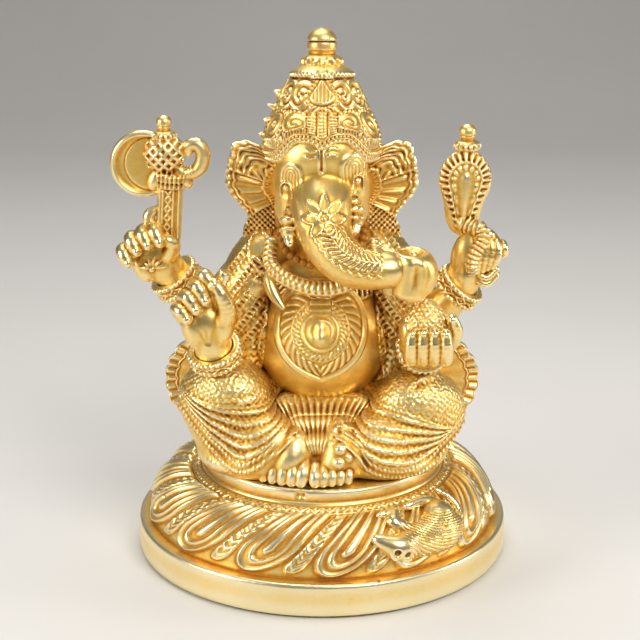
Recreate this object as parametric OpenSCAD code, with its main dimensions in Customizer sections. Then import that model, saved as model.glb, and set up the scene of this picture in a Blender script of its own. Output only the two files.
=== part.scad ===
// Seated Ganesha idol in gilt cast brass, on a round lotus pedestal.
// Millimetres, +Z up. The figure faces -Y; its own right hand is on the -X side.
// The origin is the centre of the underside, on the surface the idol stands on.

/* [Pedestal] */
// Diameter of the pedestal foot
pedestal_d = 115; // [104:1:140]
// Height of the plain rim above the felt
rim_h = 10; // [8:0.5:12]
// Width of the flat land on top of the rim
rim_land = 4; // [2:0.5:5]
// Rise of the petal slope from the rim to the bead band
slope_rise = 14.5; // [11:0.5:18]
// Diameter of the flat seat on top
plinth_d = 74; // [61:1:89]
// Height of the seat above the bead band
plinth_h = 6; // [4.5:0.5:8]
// Width of the bead band that circles the seat
band_w = 3; // [2:0.25:4]
// Wall of the hollow pedestal casting
pedestal_wall = 3.6; // [2.5:0.1:4.5]

/* [Underside] */
// Thickness of the felt
felt_t = 0.6; // [0.4:0.1:1]
// How far the felt stays back from the foot's edge
felt_inset = 1.5; // [0.5:0.1:3]
// Thickness of the closing disc
disc_t = 1.5; // [1:0.1:2.5]
// Radial gap round the closing disc
disc_gap = 0.25; // [0.1:0.05:0.5]

/* [Seat bolts] */
// Thread diameter
bolt_d = 4; // [3:0.5:5]
// Number of bolts
bolt_count = 3; // [3:1:4]
// Diameter of the bolt circle
bolt_circle_d = 28; // [24:1:33]
// Length of thread that bites in the leg casting
bolt_bite = 8; // [6:0.5:10]
// Radial gap of a bolt in the seat
bolt_gap = 0.25; // [0.15:0.05:0.5]
// Washer diameter
washer_d = 9; // [7.5:0.5:11]
// Washer thickness
washer_t = 0.8; // [0.5:0.1:1.2]

/* [Legs] */
// Sideways distance from the middle to each knee
knee_x = 29.5; // [24:0.5:36]
// Radius of the knee in its cloth
knee_r = 13.5; // [11:0.5:16.5]
// How far the ankles cross in front of the middle
ankle_y = 28; // [23:0.5:30]
// Radius of the ankle
ankle_r = 7; // [5.5:0.5:8.5]

/* [Torso] */
// Radius of the belly
belly_r = 20.5; // [17:0.5:25]
// Height of the belly's centre above the seat
belly_h = 37; // [31:0.5:44]
// Half the width between the shoulder joints
shoulder_x = 17; // [14:0.5:20.5]
// Height of the shoulders above the belly's centre
shoulder_h = 21; // [18:0.5:25]
// Wall of the hollow figure castings
figure_wall = 3.4; // [2.5:0.1:4]

/* [Head] */
// Half the width of the skull
skull_r = 14; // [11.5:0.5:17]
// Height of the skull's centre above the shoulders
head_h = 25; // [21:0.5:30]
// Radius of the trunk where it leaves the face
trunk_root_r = 8; // [6.5:0.5:9.5]
// Radius of the trunk beside the sweet
trunk_tip_r = 4.4; // [3.5:0.2:5.5]
// Radius of the sweet that the trunk holds
sweet_r = 7.6; // [6:0.2:9]
// Reach of an ear from the side of the skull
ear_reach = 15; // [12.5:0.5:18]
// Height of an ear
ear_span = 26; // [21:0.5:31]
// Thickness of an ear
ear_t = 2.6; // [2:0.2:3.4]

/* [Crown] */
// Radius of the crown's rim
crown_r = 18.2; // [15.1:0.1:21.9]
// Height of the crown's body
crown_h = 22; // [18:0.5:26.5]
// Radius of the knob on top
knob_r = 4.6; // [3.8:0.1:5.6]
// How far the crown leans back, in degrees
crown_lean = 7; // [0:1:12]

/* [Arms] */
// Radius of an upper arm
upper_arm_r = 7; // [5.5:0.5:8]
// Radius of a wrist
wrist_r = 4.8; // [4:0.2:5.8]
// Sideways reach of the raised right hand from the shoulder
right_reach = 34; // [28:0.5:41]
// Height of the raised right hand above the shoulder
right_lift = 9; // [7:0.5:11]
// Sideways reach of the raised left hand from the shoulder
left_reach = 30; // [25:0.5:36]
// Height of the raised left hand above the shoulder
left_lift = 4.5; // [3.5:0.5:6]
// Thickness of a bangle's ring
bangle_t = 2.2; // [1.8:0.1:2.8]
// Diameter of the spigots that hold the arms
spigot_d = 6; // [5:0.5:7]
// Radial gap of a brazed spigot
braze_gap = 0.05; // [0.03:0.01:0.1]

/* [Emblems] */
// Width of the axe's shaft
shaft_w = 7.4; // [6:0.2:8.8]
// Height of the axe's shaft above the fist
shaft_h = 16; // [13:0.5:19]
// Radius of the knot at the axe's head
knot_r = 5.8; // [4.8:0.2:7]
// Radius of the axe's blade
blade_r = 9.9; // [8.3:0.1:11.8]
// Width of the cobra hood
hood_w = 15.4; // [13:0.2:18.4]
// Height of the cobra hood
hood_h = 28; // [23:0.5:34]
// Thickness of the cobra hood
hood_t = 5.4; // [4.5:0.2:6.4]
// Thickness of the necklace
necklace_t = 5.2; // [4.2:0.2:6.4]
// Radius of the medallion on the belly
medal_r = 14.4; // [12:0.2:17]
// How far the medallion stands off the belly
medal_t = 1.6; // [1.2:0.1:2.2]
// Length of the mouse
mouse_len = 31; // [25.5:0.5:34]

/* [Hidden] */

gilt = "gold";
pale_gilt = "khaki";
fine = 96;
coarse = 20;
bite = 1;

// Heights and radii of the pedestal
foot_r = pedestal_d / 2;
rim_z = felt_t + rim_h;
band_z = rim_z + slope_rise;
seat_z = band_z + plinth_h;
seat_r = plinth_d / 2;
slope_foot_r = foot_r - rim_land;
slope_head_r = seat_r + band_w;
disc_r = slope_foot_r;
seat_under_z = seat_z - pedestal_wall;

// Bolts, from the washer's underside up
washer_z = seat_under_z - washer_t;
head_across = bolt_d * 1.75;
head_thick = bolt_d * 0.7;
boss_r = bolt_d * 1.15;

// Joint centres of the figure
hip = [knee_r * 0.6, 6, seat_z + knee_r];
knee = [knee_x, -13, seat_z + knee_r * 1.4];
shin = [knee_x * 0.78, -20, seat_z + knee_r * 0.72];
ankle = [knee_x * 0.26, -ankle_y, seat_z + ankle_r];
belly = [0, -4, seat_z + belly_h];
shoulder_z = belly.z + shoulder_h;
chest_r = belly_r * 0.78;
chest = [0, -1, shoulder_z - chest_r * 0.35];

// Turning radius of the necklace, and how much of it is left open at the back
neck_ring_r = chest_r * 1.2;
necklace_open = chest_r * 0.55;
shoulder_r = upper_arm_r + 0.5;
skull = [0, -2, shoulder_z + head_h];
face_y = skull.y - skull_r;
neck_r = skull_r * 0.55;

// The trunk curls to the figure's left and holds its sweet there
trunk = [
    [[0, face_y + 1, skull.z - 3], trunk_root_r],
    [[1, face_y - 7, skull.z - 10], trunk_root_r * 0.9],
    [[6, face_y - 12, skull.z - 16], (trunk_root_r + trunk_tip_r) * 0.5],
    [[13, face_y - 13, skull.z - 18.5], trunk_tip_r * 1.15],
    [[19, face_y - 12, skull.z - 19], trunk_tip_r]
];
trunk_end = trunk[len(trunk) - 1][0];
sweet = trunk_end + [sweet_r * 0.9, 0.8, -sweet_r * 0.05];

// The crown stands on an axis that starts at the skull's centre
crown_foot_h = skull_r * 0.82;
crown_neck_r = knob_r * 1.5;

// Joint centres of an arm, given its side: -1 is the figure's right, 1 its left
function between(a, b, t) = a + (b - a) * t;
function rear_shoulder(side) = [side * (shoulder_x + 5), 4, shoulder_z];
function rear_elbow(side) = [side * (shoulder_x + 15), 1, shoulder_z - 19];
function rear_fist(side) = side < 0
    ? [-(shoulder_x + right_reach), -8, shoulder_z + right_lift]
    : [shoulder_x + left_reach, -8, shoulder_z + left_lift];
function rear_wrist(side) = between(rear_elbow(side), rear_fist(side), 0.58);
function front_shoulder(side) = [side * (shoulder_x + 4.5), -4, shoulder_z - 3];
function front_elbow(side) = [side * (shoulder_x + 10.5), 0, belly.z + 1];
function front_wrist(side) = [side * (knee_x + 0.5), -19, knee.z + knee_r + wrist_r * 1.2];
elbow_r = wrist_r * 1.2;
fist_r = wrist_r * 1.28;
palm_r = wrist_r * 1.45;
right_palm = front_wrist(-1) + [0, -2, palm_r * 1.5];
left_palm = front_wrist(1) + [0.5, -4, palm_r * 0.25];

// Emblems in the raised hands
axe_foot = rear_fist(-1) + [4.4, 0, fist_r * 0.5];
axe_head = axe_foot + [1.2, 0, shaft_h + knot_r];
hood_foot = rear_fist(1) + [-5, 1.5, fist_r * 0.9];
small_knob_r = 2.5;

module ball(at, r) {
    translate(at) sphere(r, $fn = coarse);
}

module link(a, ra, b, rb) {
    hull() {
        ball(a, ra);
        ball(b, rb);
    }
}

module chain(balls) {
    for (i = [0 : len(balls) - 2])
        link(balls[i][0], balls[i][1], balls[i + 1][0], balls[i + 1][1]);
}

// Points a child along the line from a to b, with the child's origin at a
module aim(a, b) {
    d = b - a;
    translate(a) rotate([0, acos(d.z / norm(d)), atan2(d.y, d.x)]) children();
}

function side_of(p, side) = [side * p.x, p.y, p.z];

// ---- Pedestal ----

function slope_arc(r_out, r_in, z_low, z_high, steps) =
    [for (i = [0 : steps])
        [r_in + (r_out - r_in) * cos(90 * i / steps), z_low + (z_high - z_low) * sin(90 * i / steps)]];

module pedestal_outside() {
    edge = 0.8;
    rotate_extrude($fn = fine)
        polygon(concat(
            [[0, felt_t], [foot_r - edge, felt_t], [foot_r, felt_t + edge],
             [foot_r, rim_z - edge], [foot_r - edge, rim_z]],
            slope_arc(slope_foot_r, slope_head_r, rim_z, band_z, 8),
            [[seat_r + band_w * 0.5, band_z + 1.2], [seat_r, band_z + 1.2],
             [seat_r, seat_z - edge], [seat_r - edge, seat_z], [0, seat_z]]));
}

module pedestal_inside() {
    rotate_extrude($fn = fine)
        polygon(concat(
            [[0, felt_t + disc_t], [slope_foot_r - pedestal_wall, felt_t + disc_t]],
            slope_arc(slope_foot_r - pedestal_wall, slope_head_r - pedestal_wall,
                      rim_z - 1, band_z - pedestal_wall, 6),
            [[seat_r - pedestal_wall, band_z - pedestal_wall + 0.5],
             [seat_r - pedestal_wall, seat_under_z], [0, seat_under_z]]));
}

module at_bolts() {
    for (i = [0 : bolt_count - 1])
        rotate([0, 0, 360 * i / bolt_count - 90]) translate([bolt_circle_d / 2, 0, 0]) children();
}

module pedestal() {
    color(pale_gilt)
    difference() {
        pedestal_outside();
        pedestal_inside();
        translate([0, 0, felt_t - bite])
            cylinder(r = disc_r + disc_gap, h = disc_t + bite, $fn = fine);
        at_bolts() translate([0, 0, seat_under_z - bite])
            cylinder(r = bolt_d / 2 + bolt_gap, h = pedestal_wall + 2 * bite, $fn = 32);
    }
}

module closing_disc() {
    color("dimgray") translate([0, 0, felt_t]) cylinder(r = disc_r, h = disc_t, $fn = fine);
}

module felt_pad() {
    color("darkgreen") cylinder(r = foot_r - felt_inset, h = felt_t, $fn = fine);
}

module seat_bolts() {
    color("silver")
    at_bolts() {
        translate([0, 0, washer_z - head_thick])
            cylinder(r = head_across / sqrt(3), h = head_thick, $fn = 6);
        translate([0, 0, washer_z])
            cylinder(r = bolt_d / 2, h = washer_t + pedestal_wall + bolt_bite, $fn = 32);
    }
}

module seat_washers() {
    color("silver")
    at_bolts() translate([0, 0, washer_z]) difference() {
        cylinder(r = washer_d / 2, h = washer_t, $fn = 32);
        translate([0, 0, -bite]) cylinder(r = bolt_d / 2 + bolt_gap, h = washer_t + 2 * bite, $fn = 32);
    }
}

// The mouse crouches on the slope, nose towards the front, and is brazed down
mouse_turn = -55;
mouse_r = (slope_foot_r + slope_head_r) / 2 + 2;
mouse_z = rim_z + slope_rise * 0.42;

module mouse_form() {
    k = mouse_len / 25;
    rotate([0, 0, mouse_turn]) translate([mouse_r, 0, mouse_z]) {
        hull() {
            ball([-1, 5 * k, 0], 6.2 * k);
            ball([-1, -3 * k, 0], 5 * k);
        }
        hull() {
            ball([1, -5 * k, 1], 4.2 * k);
            ball([1.5, -11.5 * k, -1], 2 * k);
        }
        hull() {
            ball([3, 7 * k, -4], 4 * k);
            ball([5, -4 * k, -5], 2 * k);
        }
    }
}

module mouse() {
    color(pale_gilt)
    difference() {
        mouse_form();
        pedestal_outside();
    }
}

// ---- Legs ----

module thigh(side) {
    link(side_of(hip, side), knee_r, side_of(knee, side), knee_r);
}

module leg_form() {
    for (side = [-1, 1]) {
        thigh(side);
        hull() {
            ball(side_of(knee, side) - [0, 0, 2], knee_r - 1);
            ball(side_of(shin, side), knee_r * 0.8);
            ball(side_of(ankle, side), ankle_r);
        }
    }
}

module belly_form() {
    hull() {
        ball(belly, belly_r);
        ball(chest, chest_r);
    }
}

module leg_cavity() {
    hull() {
        for (side = [-1, 1])
            translate([side * knee_x * 0.62, -9, seat_z - bite])
                cylinder(r = knee_r * 0.5, h = knee_r * 0.85 + bite, $fn = 24);
        translate([0, 6, seat_z - bite])
            cylinder(r = knee_r * 0.6, h = knee_r * 0.85 + bite, $fn = 24);
    }
}

module legs() {
    color(gilt)
    difference() {
        leg_form();
        difference() {
            leg_cavity();
            at_bolts() cylinder(r = boss_r, h = seat_z + 2 * knee_r, $fn = 32);
        }
        belly_form();
        at_bolts() translate([0, 0, seat_z - bite])
            cylinder(r = bolt_d / 2 + braze_gap, h = bolt_bite + braze_gap + bite, $fn = 32);
        translate([0, 0, seat_z - 2 * knee_r]) cylinder(r = 2 * foot_r, h = 2 * knee_r, $fn = 24);
    }
}

// The pleated end of the lower cloth, hanging between the shins
module apron() {
    color(gilt)
    difference() {
        hull() {
            ball([0, -14, belly.z - belly_r * 0.9], 5);
            ball([-7, -19, belly.z - belly_r * 0.95], 3.5);
            ball([9, -19, belly.z - belly_r * 0.95], 3.5);
            ball([1, -ankle_y - 2, seat_z + ankle_r * 1.3], 3.5);
        }
        leg_form();
        torso_form();
    }
}

module sash_end(side) {
    top_z = knee.z + knee_r * 0.75;
    edge = 1.6;
    color(gilt)
    difference() {
        hull() {
            ball([side * (knee_x + knee_r + 4.5), knee.y + knee_r * 1.19, top_z], edge);
            ball([side * (knee_x + knee_r * 0.2), knee.y + knee_r * 1.3, top_z + 1.5], edge);
            ball([side * (knee_x + knee_r + 2.5), knee.y + knee_r * 1.04, top_z - 11], edge);
            ball([side * (knee_x + knee_r * 0.5), knee.y + knee_r * 0.94, top_z - 20], edge);
        }
        leg_form();
    }
}

module right_sash_end() { sash_end(-1); }
module left_sash_end() { sash_end(1); }

// ---- Torso ----

module torso_form() {
    belly_form();
    hull() {
        for (side = [-1, 1]) ball([side * shoulder_x, 1, shoulder_z - 1], shoulder_r);
        ball([0, -2, shoulder_z + 3], neck_r + 2);
    }
}

module torso_cavity() {
    hull() {
        ball(belly, belly_r - figure_wall);
        ball(chest, chest_r - figure_wall);
        translate([0, 0, seat_z]) cylinder(r = neck_r, h = 1, $fn = 24);
    }
}

module arm_spigot(side, joint, gap) {
    depth = 10;
    translate([side * (abs(joint.x) - depth), joint.y, joint.z]) rotate([0, side * 90, 0])
        cylinder(r = spigot_d / 2 + gap, h = depth + shoulder_r * 0.5, $fn = 32);
}

module torso() {
    color(gilt)
    difference() {
        torso_form();
        torso_cavity();
        translate([0, skull.y, shoulder_z - 2]) cylinder(r = neck_r + braze_gap, h = 3 * neck_r, $fn = 48);
        for (side = [-1, 1])
            for (joint = [rear_shoulder(side), front_shoulder(side)]) arm_spigot(side, joint, braze_gap);
    }
}

module at_neck() {
    translate([0, chest.y - 2, shoulder_z + 2]) rotate([25, 0, 0]) children();
}

module necklace_ring() {
    at_neck() rotate_extrude($fn = 64) translate([neck_ring_r, 0]) circle(r = necklace_t / 2, $fn = 16);
}

// Everything that the necklace lies over or hangs round
module under_necklace() {
    at_neck() translate([0, 0, -necklace_t / 2])
        cylinder(r = neck_ring_r + necklace_t / 2, h = 2 * chest_r, $fn = 64);
}

module necklace() {
    color(gilt)
    difference() {
        necklace_ring();
        torso_form();
        for (side = [-1, 1]) upper_arm(front_shoulder(side), front_elbow(side));
        translate([0, chest.y + 2 * chest_r - necklace_open, shoulder_z]) cube(4 * chest_r, center = true);
    }
}

// The medallion faces a little upward, as the belly does there
medal_tilt = 76;

module medallion() {
    color(pale_gilt)
    difference() {
        intersection() {
            translate(belly) sphere(belly_r + medal_t, $fn = 128);
            translate(belly) rotate([medal_tilt, 0, 0]) cylinder(r = medal_r, h = 2 * belly_r, $fn = fine);
        }
        belly_form();
        under_necklace();
    }
}

// ---- Head ----

module head_form() {
    hull() {
        ball(skull, skull_r);
        ball(skull + [0, 2, skull_r * 0.25], skull_r);
        ball([-skull_r * 0.45, face_y + 7, skull.z - 8], skull_r * 0.42);
        ball([skull_r * 0.45, face_y + 7, skull.z - 8], skull_r * 0.42);
    }
    chain(trunk);
}

module neck_form() {
    translate([0, skull.y, shoulder_z - 2]) cylinder(r = neck_r, h = head_h, $fn = 48);
}

module head() {
    color(gilt)
    difference() {
        union() {
            difference() {
                head_form();
                torso_form();
            }
            neck_form();
        }
        translate([0, skull.y, shoulder_z - 2 - bite])
            cylinder(r = neck_r - figure_wall, h = head_h + bite, $fn = 32);
        translate(skull) sphere(skull_r - figure_wall, $fn = 32);
    }
}

module ear(side) {
    root = [side * skull_r * 0.7, 2, skull.z];
    color(gilt)
    difference() {
        hull() {
            ball(root + [0, 0, ear_span * 0.28], ear_t);
            ball(root + [side * ear_reach * 1.05, 3, ear_span * 0.42], ear_t / 2);
            ball(root + [side * ear_reach * 1.28, 3, ear_span * 0.08], ear_t / 2);
            ball(root + [side * ear_reach * 0.8, 1, -ear_span * 0.56], ear_t / 2);
            ball(root + [side * ear_reach * 0.2, -2, -ear_span * 0.4], ear_t / 2);
        }
        head_form();
        crown_form();
        torso_form();
    }
}

module right_ear() { ear(-1); }
module left_ear() { ear(1); }

module tusk(side, reach) {
    root = [side * skull_r * 0.5, face_y + 2, skull.z - 9];
    color(pale_gilt)
    difference() {
        hull() {
            ball(root, 2.2);
            ball(root + [side * 2, -reach, -reach * 0.7], 1.3);
        }
        head_form();
    }
}

module right_tusk() { tusk(-1, 5); }
module left_tusk() { tusk(1, 7); }

module trunk_sweet() {
    color(gilt)
    difference() {
        hull() {
            ball(sweet + [0, 0, sweet_r * 0.1], sweet_r);
            ball(sweet - [0, 0, sweet_r * 0.3], sweet_r * 0.85);
        }
        head_form();
    }
}

// ---- Crown ----

module on_crown() {
    translate(skull) rotate([-crown_lean, 0, 0]) translate([0, 0, crown_foot_h]) children();
}

module crown_form() {
    on_crown() rotate_extrude($fn = 64)
        polygon([[0, -3.4], [crown_r * 0.88, -3.4], [crown_r, -1.6], [crown_r, 2],
                 [crown_r * 0.94, crown_h * 0.22], [crown_r * 0.79, crown_h * 0.56],
                 [crown_neck_r * 1.45, crown_h * 0.84], [crown_neck_r * 1.3, crown_h],
                 [crown_neck_r, crown_h + 2], [0, crown_h + 2]]);
}

module crown() {
    color(gilt)
    difference() {
        crown_form();
        head_form();
        on_crown() translate([0, 0, crown_h - 4]) cylinder(r = spigot_d / 2 + braze_gap, h = 10, $fn = 32);
    }
}

module crown_knob() {
    z = crown_h + 2;
    color(gilt)
    on_crown() {
        rotate_extrude($fn = 48)
            polygon([[0, z - 5], [spigot_d / 2, z - 5], [spigot_d / 2, z], [crown_neck_r * 0.9, z],
                     [crown_neck_r, z + 1.2], [knob_r * 0.9, z + 2.6], [knob_r * 0.95, z + 3.4],
                     [knob_r, z + 5], [knob_r * 0.98, z + 6.5], [knob_r * 0.75, z + 9],
                     [knob_r * 0.4, z + 10.4], [0, z + 11]]);
    }
}

// ---- Arms ----

module upper_arm(shoulder, elbow) {
    link(shoulder, upper_arm_r, elbow, elbow_r);
}

module rear_arm_form(side) {
    upper_arm(rear_shoulder(side), rear_elbow(side));
    link(rear_elbow(side), elbow_r, rear_wrist(side), wrist_r);
    link(between(rear_wrist(side), rear_fist(side), 0.6), wrist_r * 1.1,
         rear_fist(side) + [side * 4, 0, 1], fist_r * 0.8);
}

module front_arm_form(side, palm) {
    upper_arm(front_shoulder(side), front_elbow(side));
    link(front_elbow(side), elbow_r, front_wrist(side), wrist_r);
    link(front_wrist(side), wrist_r, palm, palm_r);
}

// The peg under an emblem, from its foot down in the fist
module emblem_peg(gap) {
    translate([0, 0, -fist_r * 0.5]) cylinder(r = spigot_d / 3 + gap, h = fist_r, $fn = 24);
}

module rear_arm(side, emblem_foot) {
    color(gilt)
    difference() {
        union() {
            difference() {
                rear_arm_form(side);
                torso_form();
            }
            arm_spigot(side, rear_shoulder(side), 0);
        }
        translate(emblem_foot) emblem_peg(braze_gap);
        arm_spigot(side, front_shoulder(side), braze_gap);
    }
}

module front_arm(side, palm) {
    color(gilt)
    difference() {
        union() {
            difference() {
                front_arm_form(side, palm);
                torso_form();
                thigh(side);
                upper_arm(rear_shoulder(side), rear_elbow(side));
            }
            arm_spigot(side, front_shoulder(side), 0);
        }
        arm_spigot(side, rear_shoulder(side), braze_gap);
    }
}

module rear_right_arm() { rear_arm(-1, axe_foot); }
module rear_left_arm() { rear_arm(1, hood_foot); }
module front_right_arm() { front_arm(-1, right_palm); }
module front_left_arm() { front_arm(1, left_palm); }

// A bangle's ring sits at the wrist, square to the forearm
module bangle_ring(elbow, wrist) {
    aim(wrist, elbow)
        rotate_extrude($fn = 40) translate([wrist_r + bangle_t * 0.3, 0]) circle(r = bangle_t, $fn = 16);
}

// Its children are cut away from it
module bangle(elbow, wrist) {
    color(pale_gilt)
    difference() {
        bangle_ring(elbow, wrist);
        children();
    }
}

module rear_right_bangle() {
    bangle(rear_elbow(-1), rear_wrist(-1)) rear_arm_form(-1);
}
module rear_left_bangle() {
    bangle(rear_elbow(1), rear_wrist(1)) rear_arm_form(1);
}
module front_right_bangle() {
    bangle(front_elbow(-1), front_wrist(-1)) {
        front_arm_form(-1, right_palm);
        thigh(-1);
    }
}
module front_left_bangle() {
    bangle(front_elbow(1), front_wrist(1)) {
        front_arm_form(1, left_palm);
        thigh(1);
    }
}

// ---- Emblems ----

module knob_on_ring(gap_z) {
    rotate_extrude($fn = 32)
        polygon([[0, 0], [small_knob_r * 1.35, 0], [small_knob_r * 1.6, 1.2], [small_knob_r * 1.3, 2.6],
                 [small_knob_r * 0.85, gap_z], [small_knob_r, gap_z + 1.2], [small_knob_r * 0.9, gap_z + 3],
                 [small_knob_r * 0.5, gap_z + 4], [0, gap_z + 4.3]]);
}

module axe_shaft_form() {
    hull() {
        ball(axe_foot + [0, 0, fist_r * 0.2], shaft_w / 2);
        ball(axe_foot + [0.9, 0, shaft_h], shaft_w / 2);
    }
    ball(axe_head, knot_r);
}

module axe_shaft() {
    color(gilt)
    union() {
        difference() {
            axe_shaft_form();
            rear_arm_form(-1);
            translate(axe_head + [0, 0, knot_r - 1]) cylinder(r = 2 * knot_r, h = 2 * knot_r, $fn = 24);
        }
        translate(axe_foot) emblem_peg(0);
    }
}

module axe_knob_form() {
    translate(axe_head + [0, 0, knot_r - 1]) knob_on_ring(3.2);
}

module axe_knob() {
    color(gilt) axe_knob_form();
}

module axe_blade() {
    middle = axe_head + [-knot_r - blade_r * 0.1, 0, -0.6];
    color(pale_gilt)
    difference() {
        translate(middle) rotate([90, 0, 0]) intersection() {
            cylinder(r = blade_r, h = 2.4, center = true, $fn = 64);
            translate([-blade_r, -2 * blade_r, -2]) cube([1.45 * blade_r, 4 * blade_r, 4]);
        }
        axe_shaft_form();
        axe_knob_form();
    }
}

module axe_hook() {
    middle = axe_head + [knot_r + 3.4, 0, 2];
    color(gilt)
    difference() {
        union() {
            translate(middle) rotate([90, 0, 0])
                rotate_extrude($fn = 32) translate([2.6, 0]) circle(r = 1.5, $fn = 16);
            translate(middle + [-3, 0, -5]) rotate([90, 0, 0])
                rotate_extrude($fn = 32) translate([1.5, 0]) circle(r = 1.4, $fn = 16);
        }
        axe_shaft_form();
    }
}

module cobra_hood() {
    tail = hood_foot;
    neck_z = hood_h * 0.28;
    color(gilt)
    union() {
        difference() {
            hull() {
                ball(tail + [0, 0, 1], hood_t * 0.5);
                translate(tail + [0.5, 0, hood_h - hood_w * 0.55]) rotate([90, 0, 0])
                    cylinder(r = hood_w / 2, h = hood_t * 0.55, center = true, $fn = 32);
                ball(tail + [0.2, -0.6, neck_z + 6], hood_t * 0.5);
            }
            rear_arm_form(1);
        }
        translate(hood_foot) emblem_peg(0);
    }
}

module hood_knob() {
    color(gilt)
    difference() {
        translate(hood_foot + [0.5, 0, hood_h - 1]) knob_on_ring(4);
        translate(hood_foot + [0.5, 0, hood_h - hood_w * 0.55]) rotate([90, 0, 0])
            cylinder(r = hood_w / 2, h = hood_t, center = true, $fn = 32);
    }
}

// The broken tusk that the blessing hand holds
module held_tusk() {
    color(pale_gilt)
    difference() {
        hull() {
            ball(right_palm + [0.5, -2, palm_r * 0.6], 1.6);
            ball(right_palm + [2.4, -1, palm_r * 1.75], 2.2);
        }
        front_arm_form(-1, right_palm);
    }
}

module palm_sweet() {
    color(gilt)
    difference() {
        hull() {
            ball(left_palm + [-0.5, 3, palm_r * 0.7], palm_r * 0.95);
            ball(left_palm + [-0.5, 4, palm_r * 1.2], palm_r * 0.7);
        }
        front_arm_form(1, left_palm);
        torso_form();
        bangle_ring(front_elbow(1), front_wrist(1));
    }
}

pedestal();
closing_disc();
felt_pad();
seat_bolts();
seat_washers();
mouse();
legs();
apron();
right_sash_end();
left_sash_end();
torso();
necklace();
medallion();
head();
right_ear();
left_ear();
right_tusk();
left_tusk();
trunk_sweet();
crown();
crown_knob();
rear_right_arm();
rear_left_arm();
front_right_arm();
front_left_arm();
rear_right_bangle();
rear_left_bangle();
front_right_bangle();
front_left_bangle();
axe_shaft();
axe_blade();
axe_hook();
axe_knob();
cobra_hood();
hood_knob();
held_tusk();
palm_sweet();
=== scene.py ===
"""Seated Ganesha in gilt cast brass on a lotus pedestal.

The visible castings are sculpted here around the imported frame. Lengths are in millimetres while a piece
is being shaped, and in metres once it is a Blender object. The figure faces -Y and its own right hand
is on the -X side.
"""

from __future__ import annotations

import logging
import math
from dataclasses import dataclass, field
from enum import Enum
from typing import Callable, Iterable, Sequence

import bpy
import numpy as np
import openvdb
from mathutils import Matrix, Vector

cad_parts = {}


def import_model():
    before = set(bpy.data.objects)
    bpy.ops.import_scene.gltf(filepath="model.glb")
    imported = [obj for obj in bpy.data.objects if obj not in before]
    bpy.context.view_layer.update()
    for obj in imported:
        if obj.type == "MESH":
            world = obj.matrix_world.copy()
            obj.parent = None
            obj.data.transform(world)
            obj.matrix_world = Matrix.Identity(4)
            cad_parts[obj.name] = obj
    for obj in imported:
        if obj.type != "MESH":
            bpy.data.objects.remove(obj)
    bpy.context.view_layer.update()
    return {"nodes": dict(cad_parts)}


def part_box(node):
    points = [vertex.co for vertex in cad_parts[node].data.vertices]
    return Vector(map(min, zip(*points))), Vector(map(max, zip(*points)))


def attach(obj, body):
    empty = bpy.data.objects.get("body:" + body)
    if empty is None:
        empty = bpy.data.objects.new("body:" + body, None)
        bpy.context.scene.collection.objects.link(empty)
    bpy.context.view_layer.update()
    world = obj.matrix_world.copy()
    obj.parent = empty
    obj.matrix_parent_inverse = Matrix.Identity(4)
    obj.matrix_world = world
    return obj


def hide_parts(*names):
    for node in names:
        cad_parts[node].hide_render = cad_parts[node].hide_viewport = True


Array = np.ndarray
Point = Sequence[float]
Relief = Callable[[Array, Array, Array], Array]

LOG = logging.getLogger("idol")
MM = 0.001
TURN = 2 * math.pi
FAR = 12.0
BODY = "root"
NAPE, BROW_SHARE, NECK = 2.0, 1.25, 25.0
BELLY_LEAD, MEDALLION_RISE = 4.0, 3.4
CLAY_MARGIN = 2.0
FINE_ROUNDS, BROAD_ROUNDS = 5, 28


class Side(Enum):
    """The figure's own side, as the sign of X."""

    RIGHT = -1
    LEFT = 1


class Slot(Enum):
    """Material slots."""

    BRASS = "gilt_brass"
    CLOTH = "gilt_cloth"
    SKIN = "gilt_skin"
    ORNAMENT = "gilt_ornament"
    TUSK = "pale_tusk"
    STEEL = "steel"
    BOARD = "base_board"
    FELT = "felt"


# ---- Small maths ----


def vec(*values: float) -> Array:
    """A point or direction as an array."""
    return np.array(values, dtype=float)


def unit(v: Array) -> Array:
    """The direction of v, with length one."""
    return v / (np.linalg.norm(v) + 1e-12)


def bump(distance: Array, width: float) -> Array:
    """A soft bell that is one at distance 0 and falls off over width."""
    return np.exp(-((distance / width) ** 2))


def step(value: Array, edge: float, soft: float) -> Array:
    """Rises smoothly from 0 to 1 as value passes edge, over plus and minus soft."""
    t = np.clip((value - edge) / (2.0 * soft) + 0.5, 0.0, 1.0)
    return t * t * (3.0 - 2.0 * t)


def between(value: Array, low: float, high: float, soft: float) -> Array:
    """One where value lies from low to high, with soft edges."""
    return step(value, low, soft) * (1.0 - step(value, high, soft))


def wave(run: Array, pitch: float) -> Array:
    """An even wave from -1 to 1 along a run, with a crest at every pitch."""
    return np.cos(TURN * run / pitch)


def turned(degrees: Point) -> Array:
    """Rotation matrix for turns about X, then Y, then Z.

    Args:
        degrees: the three turns in degrees.

    Returns:
        A 3 x 3 matrix that takes local directions to the figure's.
    """
    ax, ay, az = (math.radians(d) for d in degrees)
    rx = np.array([[1, 0, 0], [0, math.cos(ax), -math.sin(ax)], [0, math.sin(ax), math.cos(ax)]])
    ry = np.array([[math.cos(ay), 0, math.sin(ay)], [0, 1, 0], [-math.sin(ay), 0, math.cos(ay)]])
    rz = np.array([[math.cos(az), -math.sin(az), 0], [math.sin(az), math.cos(az), 0], [0, 0, 1]])
    return rz @ ry @ rx


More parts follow.
